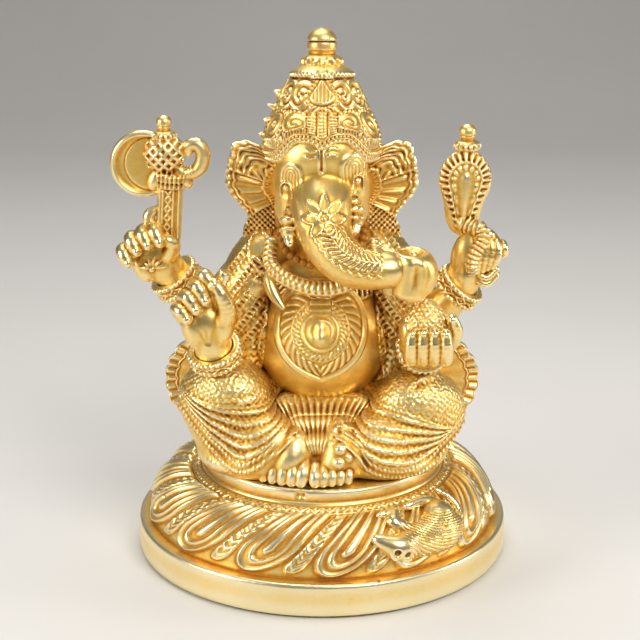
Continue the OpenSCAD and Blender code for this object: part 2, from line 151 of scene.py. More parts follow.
def smooth_path(points: Sequence[Point], per_span: int = 8) -> Array:
    """A smooth curve through a few points.

    Args:
        points: the points, of any dimension, so a radius may go along as a fourth number.
        per_span: how many steps to take from one point to the next.

    Returns:
        The curve's points, one row each.
    """
    p = np.array(points, dtype=float)
    p = np.vstack([2 * p[0] - p[1], p, 2 * p[-1] - p[-2]])
    rows = []
    for i in range(1, len(p) - 2):
        for t in np.arange(per_span) / per_span:
            a = 2 * p[i]
            b = (p[i + 1] - p[i - 1]) * t
            c = (2 * p[i - 1] - 5 * p[i] + 4 * p[i + 1] - p[i + 2]) * t * t
            d = (3 * p[i] - p[i - 1] - 3 * p[i + 1] + p[i + 2]) * t**3
            rows.append(0.5 * (a + b + c + d))
    rows.append(p[-2])
    return np.array(rows)


def along(path: Array, spacing: float) -> Array:
    """Points at an even spacing along a path."""
    legs = np.linalg.norm(np.diff(path, axis=0), axis=1)
    run = np.concatenate([[0.0], np.cumsum(legs)])
    count = max(2, int(round(run[-1] / spacing)) + 1)
    marks = np.linspace(0.0, run[-1], count)
    return np.stack([np.interp(marks, run, path[:, k]) for k in range(path.shape[1])], axis=1)


def about(spot: Array, *points: Point) -> list[tuple[float, ...]]:
    """Points of a rope, given from a spot on the figure, each with the rope's radius there."""
    return [(spot[0] + dx, spot[1] + dy, spot[2] + dz, radius) for dx, dy, dz, radius in points]


# ---- Clay ----


@dataclass
class Form:
    """A solid as a distance function, with the box that holds it."""

    low: Array
    high: Array
    distance: Relief


def local(m: Array, c: Array, x: Array, y: Array, z: Array) -> list[Array]:
    """Coordinates about c, along the columns of the rotation m."""
    dx, dy, dz = x - c[0], y - c[1], z - c[2]
    return [m[0, k] * dx + m[1, k] * dy + m[2, k] * dz for k in range(3)]


def ball(centre: Point, radius: float) -> Form:
    """A round ball."""
    c = np.array(centre, dtype=float)

    def distance(x: Array, y: Array, z: Array) -> Array:
        """Distance to the ball."""
        return np.sqrt((x - c[0]) ** 2 + (y - c[1]) ** 2 + (z - c[2]) ** 2) - radius

    return Form(c - radius, c + radius, distance)


def egg(centre: Point, radii: Point, degrees: Point = (0, 0, 0)) -> Form:
    """An ellipsoid, turned about its centre."""
    c = np.array(centre, dtype=float)
    r = np.array(radii, dtype=float)
    m = turned(degrees)
    reach = np.sqrt(((m * r[None, :]) ** 2).sum(axis=1))

    def distance(x: Array, y: Array, z: Array) -> Array:
        """Near enough the distance to the ellipsoid."""
        own = local(m, c, x, y, z)
        outer = np.sqrt(sum((own[k] / r[k]) ** 2 for k in range(3)))
        inner = np.sqrt(sum((own[k] / r[k] ** 2) ** 2 for k in range(3)))
        return outer * (outer - 1.0) / (inner + 1e-9)

    return Form(c - reach, c + reach, distance)


def limb(a: Point, ra: float, b: Point, rb: float) -> Form:
    """A round rod from a to b whose radius changes evenly."""
    pa, pb = np.array(a, dtype=float), np.array(b, dtype=float)
    ab = pb - pa
    length2 = float(ab @ ab) + 1e-9

    def distance(x: Array, y: Array, z: Array) -> Array:
        """Distance to the rod."""
        dx, dy, dz = x - pa[0], y - pa[1], z - pa[2]
        t = np.clip((dx * ab[0] + dy * ab[1] + dz * ab[2]) / length2, 0.0, 1.0)
        gap = np.sqrt((dx - t * ab[0]) ** 2 + (dy - t * ab[1]) ** 2 + (dz - t * ab[2]) ** 2)
        return gap - (ra + t * (rb - ra))

    widest = max(ra, rb)
    return Form(np.minimum(pa, pb) - widest, np.maximum(pa, pb) + widest, distance)


def ring(centre: Point, radius: float, thick: float, degrees: Point = (0, 0, 0)) -> Form:
    """A torus about its local Z."""
    c = np.array(centre, dtype=float)
    m = turned(degrees)
    reach = np.full(3, radius + thick)

    def distance(x: Array, y: Array, z: Array) -> Array:
        """Distance to the torus."""
        lx, ly, lz = local(m, c, x, y, z)
        out = np.sqrt(lx**2 + ly**2) - radius
        return np.sqrt(out**2 + lz**2) - thick

    return Form(c - reach, c + reach, distance)


def slab(centre: Point, half: Point, edge: float, degrees: Point = (0, 0, 0)) -> Form:
    """A block with rounded edges, by its half sizes."""
    c = np.array(centre, dtype=float)
    h = np.array(half, dtype=float)
    m = turned(degrees)
    reach = np.abs(m) @ h

    def distance(x: Array, y: Array, z: Array) -> Array:
        """Distance to the block."""
        q = [np.abs(d) - (h[k] - edge) for k, d in enumerate(local(m, c, x, y, z))]
        outside = np.sqrt(sum(np.maximum(v, 0.0) ** 2 for v in q))
        inside = np.minimum(np.maximum(np.maximum(q[0], q[1]), q[2]), 0.0)
        return outside + inside - edge

    return Form(c - reach, c + reach, distance)


def coin(centre: Point, radius: float, half: float, edge: float, degrees: Point = (0, 0, 0)) -> Form:
    """A short round cylinder about its local Z, with rounded edges."""
    c = np.array(centre, dtype=float)
    m = turned(degrees)
    reach = np.full(3, math.hypot(radius, half))

    def distance(x: Array, y: Array, z: Array) -> Array:
        """Distance to the cylinder."""
        lx, ly, lz = local(m, c, x, y, z)
        a = np.sqrt(lx**2 + ly**2) - (radius - edge)
        b = np.abs(lz) - (half - edge)
        return (np.minimum(np.maximum(a, b), 0.0)
                + np.sqrt(np.maximum(a, 0) ** 2 + np.maximum(b, 0) ** 2) - edge)

    return Form(c - reach, c + reach, distance)


class Clay:
    """Modelling clay: signed distances on a regular grid. What is added is shaped, then cast as one skin."""

    def __init__(self, low: Point, high: Point, grain: float) -> None:
        """Prepares an empty block.

        Args:
            low: lowest corner of the block.
            high: highest corner of the block.
            grain: distance between grid points.
        """
        self.low = np.array(low, dtype=float)
        self.grain = grain * 1.0
        counts = np.ceil((np.array(high, dtype=float) - self.low) / self.grain).astype(int) + 1
        self.axes = [self.low[k] + self.grain * np.arange(counts[k]) for k in range(3)]
        self.field = np.full(tuple(counts), FAR, dtype=np.float32)

    def _window(self, low: Array, high: Array, pad: float) -> tuple[tuple[slice, ...], list[Array]]:
        """The part of the grid round a box, and its coordinates, ready to broadcast."""
        cuts = []
        for k in range(3):
            first = int(np.searchsorted(self.axes[k], low[k] - pad))
            last = int(np.searchsorted(self.axes[k], high[k] + pad))
            cuts.append(slice(first, max(first + 1, last)))
        coords = np.ix_(*(self.axes[k][cuts[k]] for k in range(3)))
        return tuple(cuts), list(coords)

    def add(self, form: Form, blend: float = 0.0) -> "Clay":
        """Adds a form, flowing into what is there over about blend."""
        cuts, (x, y, z) = self._window(form.low, form.high, blend + CLAY_MARGIN)
        new = form.distance(x, y, z)
        old = self.field[cuts]
        if blend > 0.0:
            h = np.clip(0.5 + 0.5 * (old - new) / blend, 0.0, 1.0)
            self.field[cuts] = old + (new - old) * h - blend * h * (1.0 - h)
        else:
            self.field[cuts] = np.minimum(old, new)
        return self

    def cut(self, form: Form, blend: float = 0.0) -> "Clay":
        """Cuts a form away, with the edge rounded over about blend."""
        cuts, (x, y, z) = self._window(form.low, form.high, blend + CLAY_MARGIN)
        new = -form.distance(x, y, z)
        old = self.field[cuts]
        if blend > 0.0:
            h = np.clip(0.5 - 0.5 * (old - new) / blend, 0.0, 1.0)
            self.field[cuts] = old + (new - old) * h + blend * h * (1.0 - h)
        else:
            self.field[cuts] = np.maximum(old, new)
        return self

    def rope(self, points: Sequence[Point], blend: float = 0.0, per_span: int = 4) -> "Clay":
        """Adds a smooth run of rods. Each point is x, y, z and radius."""
        path = smooth_path(points, per_span)
        for a, b in zip(path[:-1], path[1:]):
            self.add(limb(a[:3], a[3], b[:3], b[3]), blend)
        return self

    def emboss(self, relief: Relief, low: Point | None = None, high: Point | None = None,
               reach: float = 1.6) -> "Clay":
        """Raises the surface by relief(x, y, z), or sinks it where that is negative.

        Args:
            relief: height at each point, in millimetres.
            low: lowest corner of where to work, or None for the whole block.
            high: highest corner of where to work.
            reach: how far from the surface the clay is worked.
        """
        lowest = self.low if low is None else np.array(low, dtype=float)
        highest = np.array([a[-1] for a in self.axes]) if high is None else np.array(high, dtype=float)
        cuts, _ = self._window(lowest, highest, 0.0)
        part = self.field[cuts]
        near = np.nonzero(np.abs(part) < reach)
        if near[0].size == 0:
            return self
        x, y, z = (self.axes[k][cuts[k]][near[k]] for k in range(3))
        part[near] -= relief(x, y, z).astype(np.float32)
        return self

    def stroke(self, path: Array, width: float, height: float, taper: bool = False) -> "Clay":
        """Draws a raised line, or a groove where height is negative, along a path on the surface."""
        pts = np.array(path, dtype=float)[:, :3]
        pad = 2.5 * width + 0.5

        def relief(x: Array, y: Array, z: Array) -> Array:
            """Height of the line at each point."""
            gap, share = to_path(x, y, z, pts)
            tall = height * (np.sin(np.pi * np.clip(share, 0.03, 0.97)) ** 0.5 if taper else 1.0)
            return tall * bump(gap, width)

        return self.emboss(relief, pts.min(axis=0) - pad, pts.max(axis=0) + pad)

    def fired(self, fine: float = 0.10, broad: float = 0.35) -> "Shell":
        """The finished skin as a shell, with its hollows marked to the two depths."""
        return Shell.of(*self.skin()).mark_hollows(fine, broad)

    def skin(self) -> tuple[Array, Array]:
        """The surface as points in millimetres and four-sided faces."""
        grid = openvdb.FloatGrid(FAR)
        grid.copyFromArray(np.ascontiguousarray(self.field))
        points, quads = grid.convertToQuads(0.0)
        return points.astype(float) * self.grain + self.low, quads.astype(np.int64)


def to_path(x: Array, y: Array, z: Array, path: Array) -> tuple[Array, Array]:
    """Distance from each point to a path.

    Args:
        x: the points' X.
        y: the points' Y.
        z: the points' Z.
        path: the path's points, one row each.

    Returns:
        The distance, and how far along the path its nearest place lies, from 0 to 1.
    """
    best = np.full(x.shape, 1e9)
    share = np.zeros(x.shape)
    legs = len(path) - 1
    for i in range(legs):
        a, d = path[i], path[i + 1] - path[i]
        t = np.clip(((x - a[0]) * d[0] + (y - a[1]) * d[1] + (z - a[2]) * d[2]) / (float(d @ d) + 1e-9), 0, 1)
        gap = (x - a[0] - t * d[0]) ** 2 + (y - a[1] - t * d[1]) ** 2 + (z - a[2] - t * d[2]) ** 2
        closer = gap < best
        best = np.where(closer, gap, best)
        share = np.where(closer, (i + t) / legs, share)
    return np.sqrt(best), share


# ---- Meshes ----


@dataclass
class Shell:
    """A closed skin: points in millimetres, faces of three or four corners, and named masks on the points."""

    points: Array
    faces: list[Array]
    masks: dict[str, Array] = field(default_factory=dict)

    @staticmethod
    def of(points: Array, *faces: Array) -> "Shell":
        """A shell of one or two face lists."""
        return Shell(points, [f for f in faces if len(f)])

    def normals(self) -> Array:
        """Outward direction at each point."""
        total = np.zeros_like(self.points)
        for f in self.faces:
            p = [self.points[f[:, k]] for k in range(f.shape[1])]
            across = np.cross(p[2] - p[0], p[-1] - p[1] if f.shape[1] == 4 else p[1] - p[0])
            across = across if f.shape[1] == 4 else -across
            for k in range(f.shape[1]):
                for axis in range(3):
                    total[:, axis] += np.bincount(f[:, k], across[:, axis], len(self.points))
        return total / (np.linalg.norm(total, axis=1)[:, None] + 1e-12)

    def smoothed(self, rounds: int) -> Array:
        """The points after so many rounds of moving each to the middle of its neighbours."""
        n = len(self.points)
        start = np.concatenate([f.ravel() for f in self.faces])
        end = np.concatenate([np.roll(f, -1, axis=1).ravel() for f in self.faces])
        weight = np.maximum(np.bincount(start, minlength=n), 1)
        p = self.points.copy()
        for _ in range(rounds):
            p = np.stack([np.bincount(start, p[end, k], n) / weight for k in range(3)], axis=1)
        return p

    def mark_hollows(self, fine: float = 0.10, broad: float = 0.35) -> "Shell":
        """Adds the mask "hollow": about 0 on ridges, half on plain faces and 1 in crevices.

        Args:
            fine: depth of a fine crevice that counts as full.
            broad: depth of a broad one.
        """
        out = self.normals()
        sunk = [((self.smoothed(rounds) - self.points) * out).sum(axis=1)
                for rounds in (FINE_ROUNDS, BROAD_ROUNDS)]
        # The gilt finishes turn this mask into patina and painted shade in crevices, and painted highlight on
        # ridges.
        self.masks["hollow"] = np.clip(0.5 + 0.28 * sunk[0] / fine + 0.30 * sunk[1] / broad, 0.0, 1.0)
        return self


def join(shells: Iterable[Shell]) -> Shell:
    """Several shells as one, each still closed by itself. Masks that all of them have are kept."""
    group = list(shells)
    offset = 0
    faces: list[Array] = []
    for s in group:
        faces += [f + offset for f in s.faces]
        offset += len(s.points)
    by_corners = [np.concatenate([f for f in faces if f.shape[1] == k]) for k in (3, 4)
                  if any(f.shape[1] == k for f in faces)]
    names = set.intersection(*(set(s.masks) for s in group))
    masks = {name: np.concatenate([s.masks[name] for s in group]) for name in names}
    return Shell(np.concatenate([s.points for s in group]), by_corners, masks)


def lathe(profile: Array, turns: int, relief: Callable[[Array, Array], Array] | None = None) -> Shell:
    """A closed turned form about Z, with ornament raised on it.

    Args:
        profile: radius and height of each point, from the axis at the bottom to the axis at the top.
        turns: number of steps round.
        relief: height of the ornament at each (angle, profile step), along the profile's normal.

    Returns:
        The closed shell.
    """
    angle = np.linspace(0.0, TURN, turns, endpoint=False)
    inner = profile[1:-1]
    count = len(inner)
    slope = np.gradient(profile, axis=0)[1:-1]
    out = np.stack([slope[:, 1], -slope[:, 0]], axis=1)
    out /= np.linalg.norm(out, axis=1)[:, None] + 1e-12
    a, s = np.meshgrid(angle, np.arange(1, count + 1), indexing="ij")
    height = relief(a, s) if relief else np.zeros_like(a)
    radius = np.maximum(inner[None, :, 0] + height * out[None, :, 0], 0.02)
    level = inner[None, :, 1] + height * out[None, :, 1]
    points = np.stack([radius * np.cos(a), radius * np.sin(a), level], axis=-1).reshape(-1, 3)
    points = np.vstack([points, [[0, 0, profile[0, 1]], [0, 0, profile[-1, 1]]]])
    i = np.arange(turns)[:, None]
    j = np.arange(count - 1)[None, :]
    k = (i + 1) % turns
    quads = np.stack([i * count + j, k * count + j, k * count + j + 1, i * count + j + 1],
                     axis=-1).reshape(-1, 4)
    i, k = i.ravel(), k.ravel()
    foot = np.stack([k * count, i * count, np.full(turns, len(points) - 2)], axis=-1)
    top = np.stack([i * count + count - 1, k * count + count - 1, np.full(turns, len(points) - 1)], axis=-1)
    return Shell.of(points, quads, np.vstack([foot, top]))


def plate(front: Array, back: Array) -> Shell:
    """A closed plate between two grids of points with the same shape, joined along their edges."""
    n, m = front.shape[:2]
    points = np.vstack([front.reshape(-1, 3), back.reshape(-1, 3)])
    i, j = np.meshgrid(np.arange(n - 1), np.arange(m - 1), indexing="ij")
    a = (i * m + j).ravel()
    face = np.stack([a, a + m, a + m + 1, a + 1], axis=-1)
    rear = face[:, ::-1] + n * m
    rim = np.concatenate([
        np.arange(m),
        np.arange(1, n) * m + m - 1,
        (n - 1) * m + np.arange(m - 2, -1, -1),
        np.arange(n - 2, 0, -1) * m,
    ])
    after = np.roll(rim, -1)
    side = np.stack([rim, after, after + n * m, rim + n * m], axis=-1)
    return Shell.of(points, np.vstack([face, rear, side]))


def fan_plate(side: Side, x: Array, y: Array, z: Array, thick: float, lift: Array, rear: float) -> Shell:
    """A standing plate, with ornament lifted in front and a share of it behind.

    Args:
        side: the side of the figure that it stands on.
        x: X of each point of its grid.
        y: the middle of its thickness there.
        z: Z of each point.
        thick: half its thickness.
        lift: height of the ornament.
        rear: share of that height at the back.

    Returns:
        The closed plate.
    """
    front = np.stack([x, y - thick - lift, z], axis=-1)
    back = np.stack([x, y + thick + rear * lift, z], axis=-1)
    return plate(front, back) if side is Side.RIGHT else plate(front[:, ::-1], back[:, ::-1])


def beads(centres: Array, radius: float) -> Shell:
    """Small round beads of one radius, one at each centre."""
    rings, turns = 5, 10
    tilt = np.pi * np.arange(1, rings) / rings
    round_turn = TURN * np.arange(turns) / turns
    body = np.stack([
        np.outer(np.sin(tilt), np.cos(round_turn)),
        np.outer(np.sin(tilt), np.sin(round_turn)),
        np.outer(-np.cos(tilt), np.ones(turns)),
    ], axis=-1).reshape(-1, 3)
    form = np.vstack([body, [[0, 0, -1.0], [0, 0, 1.0]]])
    count = len(form)
    points = (centres[:, None, :] + form[None] * radius).reshape(-1, 3)
    i, j = np.meshgrid(np.arange(rings - 2), np.arange(turns), indexing="ij")
    k = (j + 1) % turns
    quad = np.stack([i * turns + j, i * turns + k, (i + 1) * turns + k, (i + 1) * turns + j],
                    axis=-1).reshape(-1, 4)
    j = np.arange(turns)
    k = (j + 1) % turns
    upper = (rings - 2) * turns
    low = np.stack([k, j, np.full(turns, count - 2)], axis=-1)
    high = np.stack([upper + j, upper + k, np.full(turns, count - 1)], axis=-1)
    shift = (np.arange(len(centres)) * count)[:, None, None]
    quads = (quad[None] + shift).reshape(-1, 4)
    tris = (np.vstack([low, high])[None] + shift).reshape(-1, 3)
    return Shell.of(points, quads, tris)


def cast(name: str, shell: Shell, material: bpy.types.Material) -> bpy.types.Object:
    """Makes a Blender object of a shell.

    Args:
        name: the piece's name.
        shell: its skin, in millimetres.
        material: its finish.

    Returns:
        The new object, smooth shaded, with the shell's masks as point attributes.
    """
    mesh = bpy.data.meshes.new(name)
    mesh.vertices.add(len(shell.points))
    mesh.vertices.foreach_set("co", (shell.points * MM).astype(np.float32).ravel())
    sizes = np.concatenate([np.full(len(f), f.shape[1]) for f in shell.faces])
    corners = np.concatenate([f.ravel() for f in shell.faces])
    mesh.loops.add(len(corners))
    mesh.loops.foreach_set("vertex_index", corners.astype(np.int32))
    mesh.polygons.add(len(sizes))
    mesh.polygons.foreach_set("loop_start", np.concatenate([[0], np.cumsum(sizes)[:-1]]).astype(np.int32))
    mesh.polygons.foreach_set("use_smooth", np.ones(len(sizes), dtype=bool))
    mesh.update(calc_edges=True)
    for mask, values in shell.masks.items():
        layer = mesh.attributes.new(mask, "FLOAT", "POINT")
        layer.data.foreach_set("value", values.astype(np.float32))
    mesh.materials.append(material)
    made = bpy.data.objects.new(name, mesh)
    bpy.context.scene.collection.objects.link(made)
    return made


def hand_in(name: str, shell: Shell, material: bpy.types.Material, slot: Slot,
            *nodes: str) -> bpy.types.Object:
    """Casts a shell as a piece of the idol, and says which CAD nodes it stands for."""
    piece = cast(name, shell, material)
    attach(piece, BODY)
    if nodes:
        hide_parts(*nodes)
    LOG.info("%s: %d points, for %s", name, len(shell.points), ", ".join(nodes) or "detail only")
    return piece


# ---- Finishes ----


def add_node(tree: bpy.types.NodeTree, kind: str, **settings: object) -> bpy.types.Node:
    """Adds a shader node and sets its properties by name."""
    made = tree.nodes.new(kind)
    for key, value in settings.items():
        setattr(made, key, value)
    return made


def blend_of(tree: bpy.types.NodeTree, kind: str, a: object, b: object) -> bpy.types.NodeSocket:
    """The result of a Math node on two numbers or sockets."""
    made = add_node(tree, "ShaderNodeMath", operation=kind)
    for place, value in enumerate((a, b)):
        if isinstance(value, bpy.types.NodeSocket):
            tree.links.new(value, made.inputs[place])
        else:
            made.inputs[place].default_value = value
    return made.outputs[0]


def ramp(tree: bpy.types.NodeTree, value: bpy.types.NodeSocket,
         stops: Sequence[tuple[float, Point]]) -> bpy.types.NodeSocket:
    """A colour ramp over a number.

    Args:
        tree: the node tree.
        value: the number that picks the colour.
        stops: position and colour of each stop, in order.

    Returns:
        The colour.
    """
    made = add_node(tree, "ShaderNodeValToRGB")
    while len(made.color_ramp.elements) < len(stops):
        made.color_ramp.elements.new(0.5)
    for element, (place, colour) in zip(made.color_ramp.elements, stops):
        element.position = place
        element.color = (*colour, 1.0)
    tree.links.new(value, made.inputs[0])
    return made.outputs["Color"]


def noise_at(tree: bpy.types.NodeTree, where: bpy.types.NodeSocket, scale: float,
             detail: float) -> bpy.types.NodeSocket:
    """Noise from 0 to 1 over the piece. scale is in bumps to the metre."""
    made = add_node(tree, "ShaderNodeTexNoise")
    made.inputs["Scale"].default_value = scale
    made.inputs["Detail"].default_value = detail
    tree.links.new(where, made.inputs["Vector"])
    return made.outputs["Fac"]


def spread(tree: bpy.types.NodeTree, value: bpy.types.NodeSocket, given: Point,
           wanted: Point) -> bpy.types.NodeSocket:
    """Moves a number from one range to another, held within it."""
    made = add_node(tree, "ShaderNodeMapRange")
    for socket, limit in zip(("From Min", "From Max", "To Min", "To Max"), (*given, *wanted)):
        made.inputs[socket].default_value = limit
    tree.links.new(value, made.inputs["Value"])
    return made.outputs["Result"]


def new_group(name: str, given: dict[str, float], colours: Sequence[str],
              values: Sequence[str]) -> bpy.types.NodeTree:
    """An empty shader group.

    Args:
        name: the group's name.
        given: its inputs, with the value that each starts from.
        colours: its outputs that are colours.
        values: its outputs that are numbers.

    Returns:
        The group, with its input and output nodes.
    """
    tree = bpy.data.node_groups.new(name, "ShaderNodeTree")
    for label, start in given.items():
        socket = tree.interface.new_socket(label, in_out="INPUT", socket_type="NodeSocketFloat")
        socket.default_value = start
    for label in colours:
        tree.interface.new_socket(label, in_out="OUTPUT", socket_type="NodeSocketColor")
    for label in values:
        tree.interface.new_socket(label, in_out="OUTPUT", socket_type="NodeSocketFloat")
    add_node(tree, "NodeGroupInput", name="given")
    add_node(tree, "NodeGroupOutput", name="result")
    return tree


def new_material(name: str) -> tuple[bpy.types.Material, bpy.types.Node]:
    """A material with nodes, and its shader."""
    made = bpy.data.materials.new(name)
    made.use_nodes = True
    return made, made.node_tree.nodes["Principled BSDF"]


def emboss_shader(shader: bpy.types.Node, height: bpy.types.NodeSocket, depth: float) -> None:
    """Lets a height dent the shader's normal, depth metres for each unit."""
    tree = shader.id_data
    relief = add_node(tree, "ShaderNodeBump")
    relief.inputs["Strength"].default_value = 1.0
    relief.inputs["Distance"].default_value = depth
    tree.links.new(height, relief.inputs["Height"])
    tree.links.new(relief.outputs["Normal"], shader.inputs["Normal"])


def gilt_patina_and_shade_group() -> bpy.types.NodeTree:
    """Gilding paled on high places by painted highlights with some rubbed wear, and browned in crevices by
    patina deepened into painted shade. Built once for all brass pieces.
    """
    start = {"Hollow": 0.5, "Age": 1.0, "Warmth": 0.0, "Dull": 0.0}
    tree = new_group("gilt_patina_and_shade", start, ("Colour",), ("Roughness", "Metal"))
    source, result = tree.nodes["given"], tree.nodes["result"]
    place = add_node(tree, "ShaderNodeTexCoord").outputs["Object"]
    broad = noise_at(tree, place, 70.0, 3.0)
    fine = noise_at(tree, place, 900.0, 2.0)
    drift = blend_of(tree, "MULTIPLY", blend_of(tree, "SUBTRACT", broad, 0.5), 0.34)
    speck = blend_of(tree, "MULTIPLY", blend_of(tree, "SUBTRACT", fine, 0.5), 0.20)
    # The hollow mask moves the colour: real patina and wear, together with painted shade in crevices and
    # painted highlights on ridges.
    patina_and_shade_shift = blend_of(tree, "MULTIPLY", blend_of(tree, "SUBTRACT", source.outputs["Hollow"], 0.5),
                    source.outputs["Age"])
    level = blend_of(tree, "ADD", blend_of(tree, "ADD", patina_and_shade_shift, source.outputs["Warmth"]), 0.5)
    level = blend_of(tree, "ADD", blend_of(tree, "ADD", level, drift), speck)
    # The pale cream stops on ridges are painted highlights, the orange stops are patina, and the deep brown
    # stops are painted shade in crevices.
    colour = ramp(tree, level, (
        (0.12, (1.0, 0.88, 0.56)),
        (0.38, (0.98, 0.76, 0.33)),
        (0.56, (0.89, 0.60, 0.16)),
        (0.74, (0.73, 0.385, 0.055)),
        (0.90, (0.42, 0.17, 0.022)),
        (1.0, (0.09, 0.035, 0.01)),
    ))
    rough = spread(tree, level, (0.25, 0.85), (0.27, 0.52))
    metal = spread(tree, level, (0.74, 0.95), (1.0, 0.35))
    tree.links.new(colour, result.inputs["Colour"])
    tree.links.new(blend_of(tree, "ADD", rough, source.outputs["Dull"]), result.inputs["Roughness"])
    tree.links.new(metal, result.inputs["Metal"])
    return tree


def cast_grain_group() -> bpy.types.NodeTree:
    """Heights of the cast skin: fine grain everywhere, and punched stipple where the mask asks for it."""
    tree = new_group("cast_grain", {"Grain": 0.3, "Stipple": 0.0, "Cells": 820.0}, (), ("Height",))
    source, result = tree.nodes["given"], tree.nodes["result"]
    place = add_node(tree, "ShaderNodeTexCoord").outputs["Object"]
    grain = blend_of(tree, "MULTIPLY", noise_at(tree, place, 620.0, 4.0), source.outputs["Grain"])
    dents = noise_at(tree, place, 150.0, 2.0)
    grain = blend_of(tree, "ADD", grain, blend_of(tree, "MULTIPLY", dents, source.outputs["Grain"]))
    cells = add_node(tree, "ShaderNodeTexVoronoi", feature="SMOOTH_F1")
    cells.inputs["Smoothness"].default_value = 0.35
    tree.links.new(place, cells.inputs["Vector"])
    tree.links.new(source.outputs["Cells"], cells.inputs["Scale"])
    punched = blend_of(tree, "SUBTRACT", 0.62, cells.outputs["Distance"])
    punched = blend_of(tree, "MULTIPLY", punched, source.outputs["Stipple"])
    tree.links.new(blend_of(tree, "ADD", grain, punched), result.inputs["Height"])
    return tree


@dataclass(frozen=True)
class Gilt:
    """A gilt brass finish.

    Attributes:
        name: the material's name.
        age: how strongly ridges pale with painted highlight and wear, and crevices brown with patina and
            painted shade.
        warmth: shifts the whole piece towards orange.
        grain: height of the cast grain.
        stipple: height of the punched stipple, where the mesh has the mask "stipple".
        dull: added to the roughness.
        depth: how far the grain stands, in metres.
    """

    name: str
    age: float = 1.0
    warmth: float = 0.0
    grain: float = 0.25
    stipple: float = 0.0
    dull: float = 0.0
    depth: float = 0.00022

    def material(self, groups: dict[str, bpy.types.NodeTree]) -> bpy.types.Material:
        """Builds the material from the shared groups."""
        made, shader = new_material(self.name)
        tree = made.node_tree
        patina_and_shade = add_node(tree, "ShaderNodeGroup", node_tree=groups["patina_and_shade"])
        # This strength sets how much painted shade and painted highlight, along with patina and wear, the
        # hollow mask brings.
        patina_and_shade.inputs["Age"].default_value = self.age
        patina_and_shade.inputs["Warmth"].default_value = self.warmth
        patina_and_shade.inputs["Dull"].default_value = self.dull
        # The hollow mask carries patina, painted shade in crevices and painted highlight on ridges.
        hollow = add_node(tree, "ShaderNodeAttribute", attribute_name="hollow")
        tree.links.new(hollow.outputs["Fac"], patina_and_shade.inputs["Hollow"])
        tree.links.new(patina_and_shade.outputs["Colour"], shader.inputs["Base Color"])
        tree.links.new(patina_and_shade.outputs["Roughness"], shader.inputs["Roughness"])
        tree.links.new(patina_and_shade.outputs["Metal"], shader.inputs["Metallic"])
        grain = add_node(tree, "ShaderNodeGroup", node_tree=groups["grain"])
        grain.inputs["Grain"].default_value = self.grain
        if self.stipple:
            mask = add_node(tree, "ShaderNodeAttribute", attribute_name="stipple")
            punched = blend_of(tree, "MULTIPLY", mask.outputs["Fac"], self.stipple)
            tree.links.new(punched, grain.inputs["Stipple"])
        emboss_shader(shader, grain.outputs["Height"], self.depth)
        return made


@dataclass(frozen=True)
class Plain:
    """A finish for the few pieces that aren't gilt: felt, plated steel and sheet.

    Attributes:
        name: the material's name.
        light: colour of the high grain.
        dark: colour of the low grain.
        rough: roughness.
        metal: metallic share.
        scale: grain to the metre.
        depth: how far the grain stands, in metres.
    """

    name: str
    light: tuple[float, float, float]
    dark: tuple[float, float, float]
    rough: float
    metal: float
    scale: float
    depth: float

    def material(self) -> bpy.types.Material:
        """Builds the material."""
        made, shader = new_material(self.name)
        tree = made.node_tree
        shader.inputs["Roughness"].default_value = self.rough
        shader.inputs["Metallic"].default_value = self.metal
        place = add_node(tree, "ShaderNodeTexCoord").outputs["Object"]
        grain = noise_at(tree, place, self.scale, 4.0)
        tree.links.new(ramp(tree, grain, ((0.3, self.dark), (0.7, self.light))), shader.inputs["Base Color"])
        emboss_shader(shader, grain, self.depth)
        return made


class Finishes:
    """All the finishes, built once."""

    def __init__(self) -> None:
        """Builds the shared groups and the materials."""
        groups = {"patina_and_shade": gilt_patina_and_shade_group(), "grain": cast_grain_group()}
        # The first number of each gilt finish sets how strongly it paints shade into crevices and highlights
        # onto ridges, along with patina and wear.
        self.pedestal = Gilt("gilt_pedestal", age=0.72, warmth=-0.02, grain=0.35, dull=0.05).material(groups)
        self.skin = Gilt("gilt_polished", age=0.85, warmth=0.03, grain=0.15).material(groups)
        self.cloth = Gilt("gilt_stippled", age=0.85, warmth=0.02, grain=0.3, stipple=1.1,
                          dull=0.09).material(groups)
        self.ornament = Gilt("gilt_chased", age=0.95, warmth=0.04, grain=0.3, dull=0.06).material(groups)
        self.body = Gilt("gilt_body", age=0.9, warmth=0.05, grain=0.15, stipple=1.0).material(groups)
        self.tusk = Gilt("worn_tusk", age=0.6, warmth=-0.3, grain=0.2).material(groups)
        self.felt = Plain("green_felt", (0.05, 0.19, 0.10), (0.02, 0.09, 0.05), 0.95, 0.0, 2600.0,
                          0.0003).material()
        self.steel = Plain("plated_steel", (0.66, 0.67, 0.69), (0.52, 0.53, 0.56), 0.34, 1.0, 900.0,
                           0.00002).material()
        self.board = Plain("sheet_disc", (0.60, 0.61, 0.63), (0.48, 0.49, 0.51), 0.45, 1.0, 300.0,
                           0.00003).material()


# ---- The figure's places, taken from the frame ----


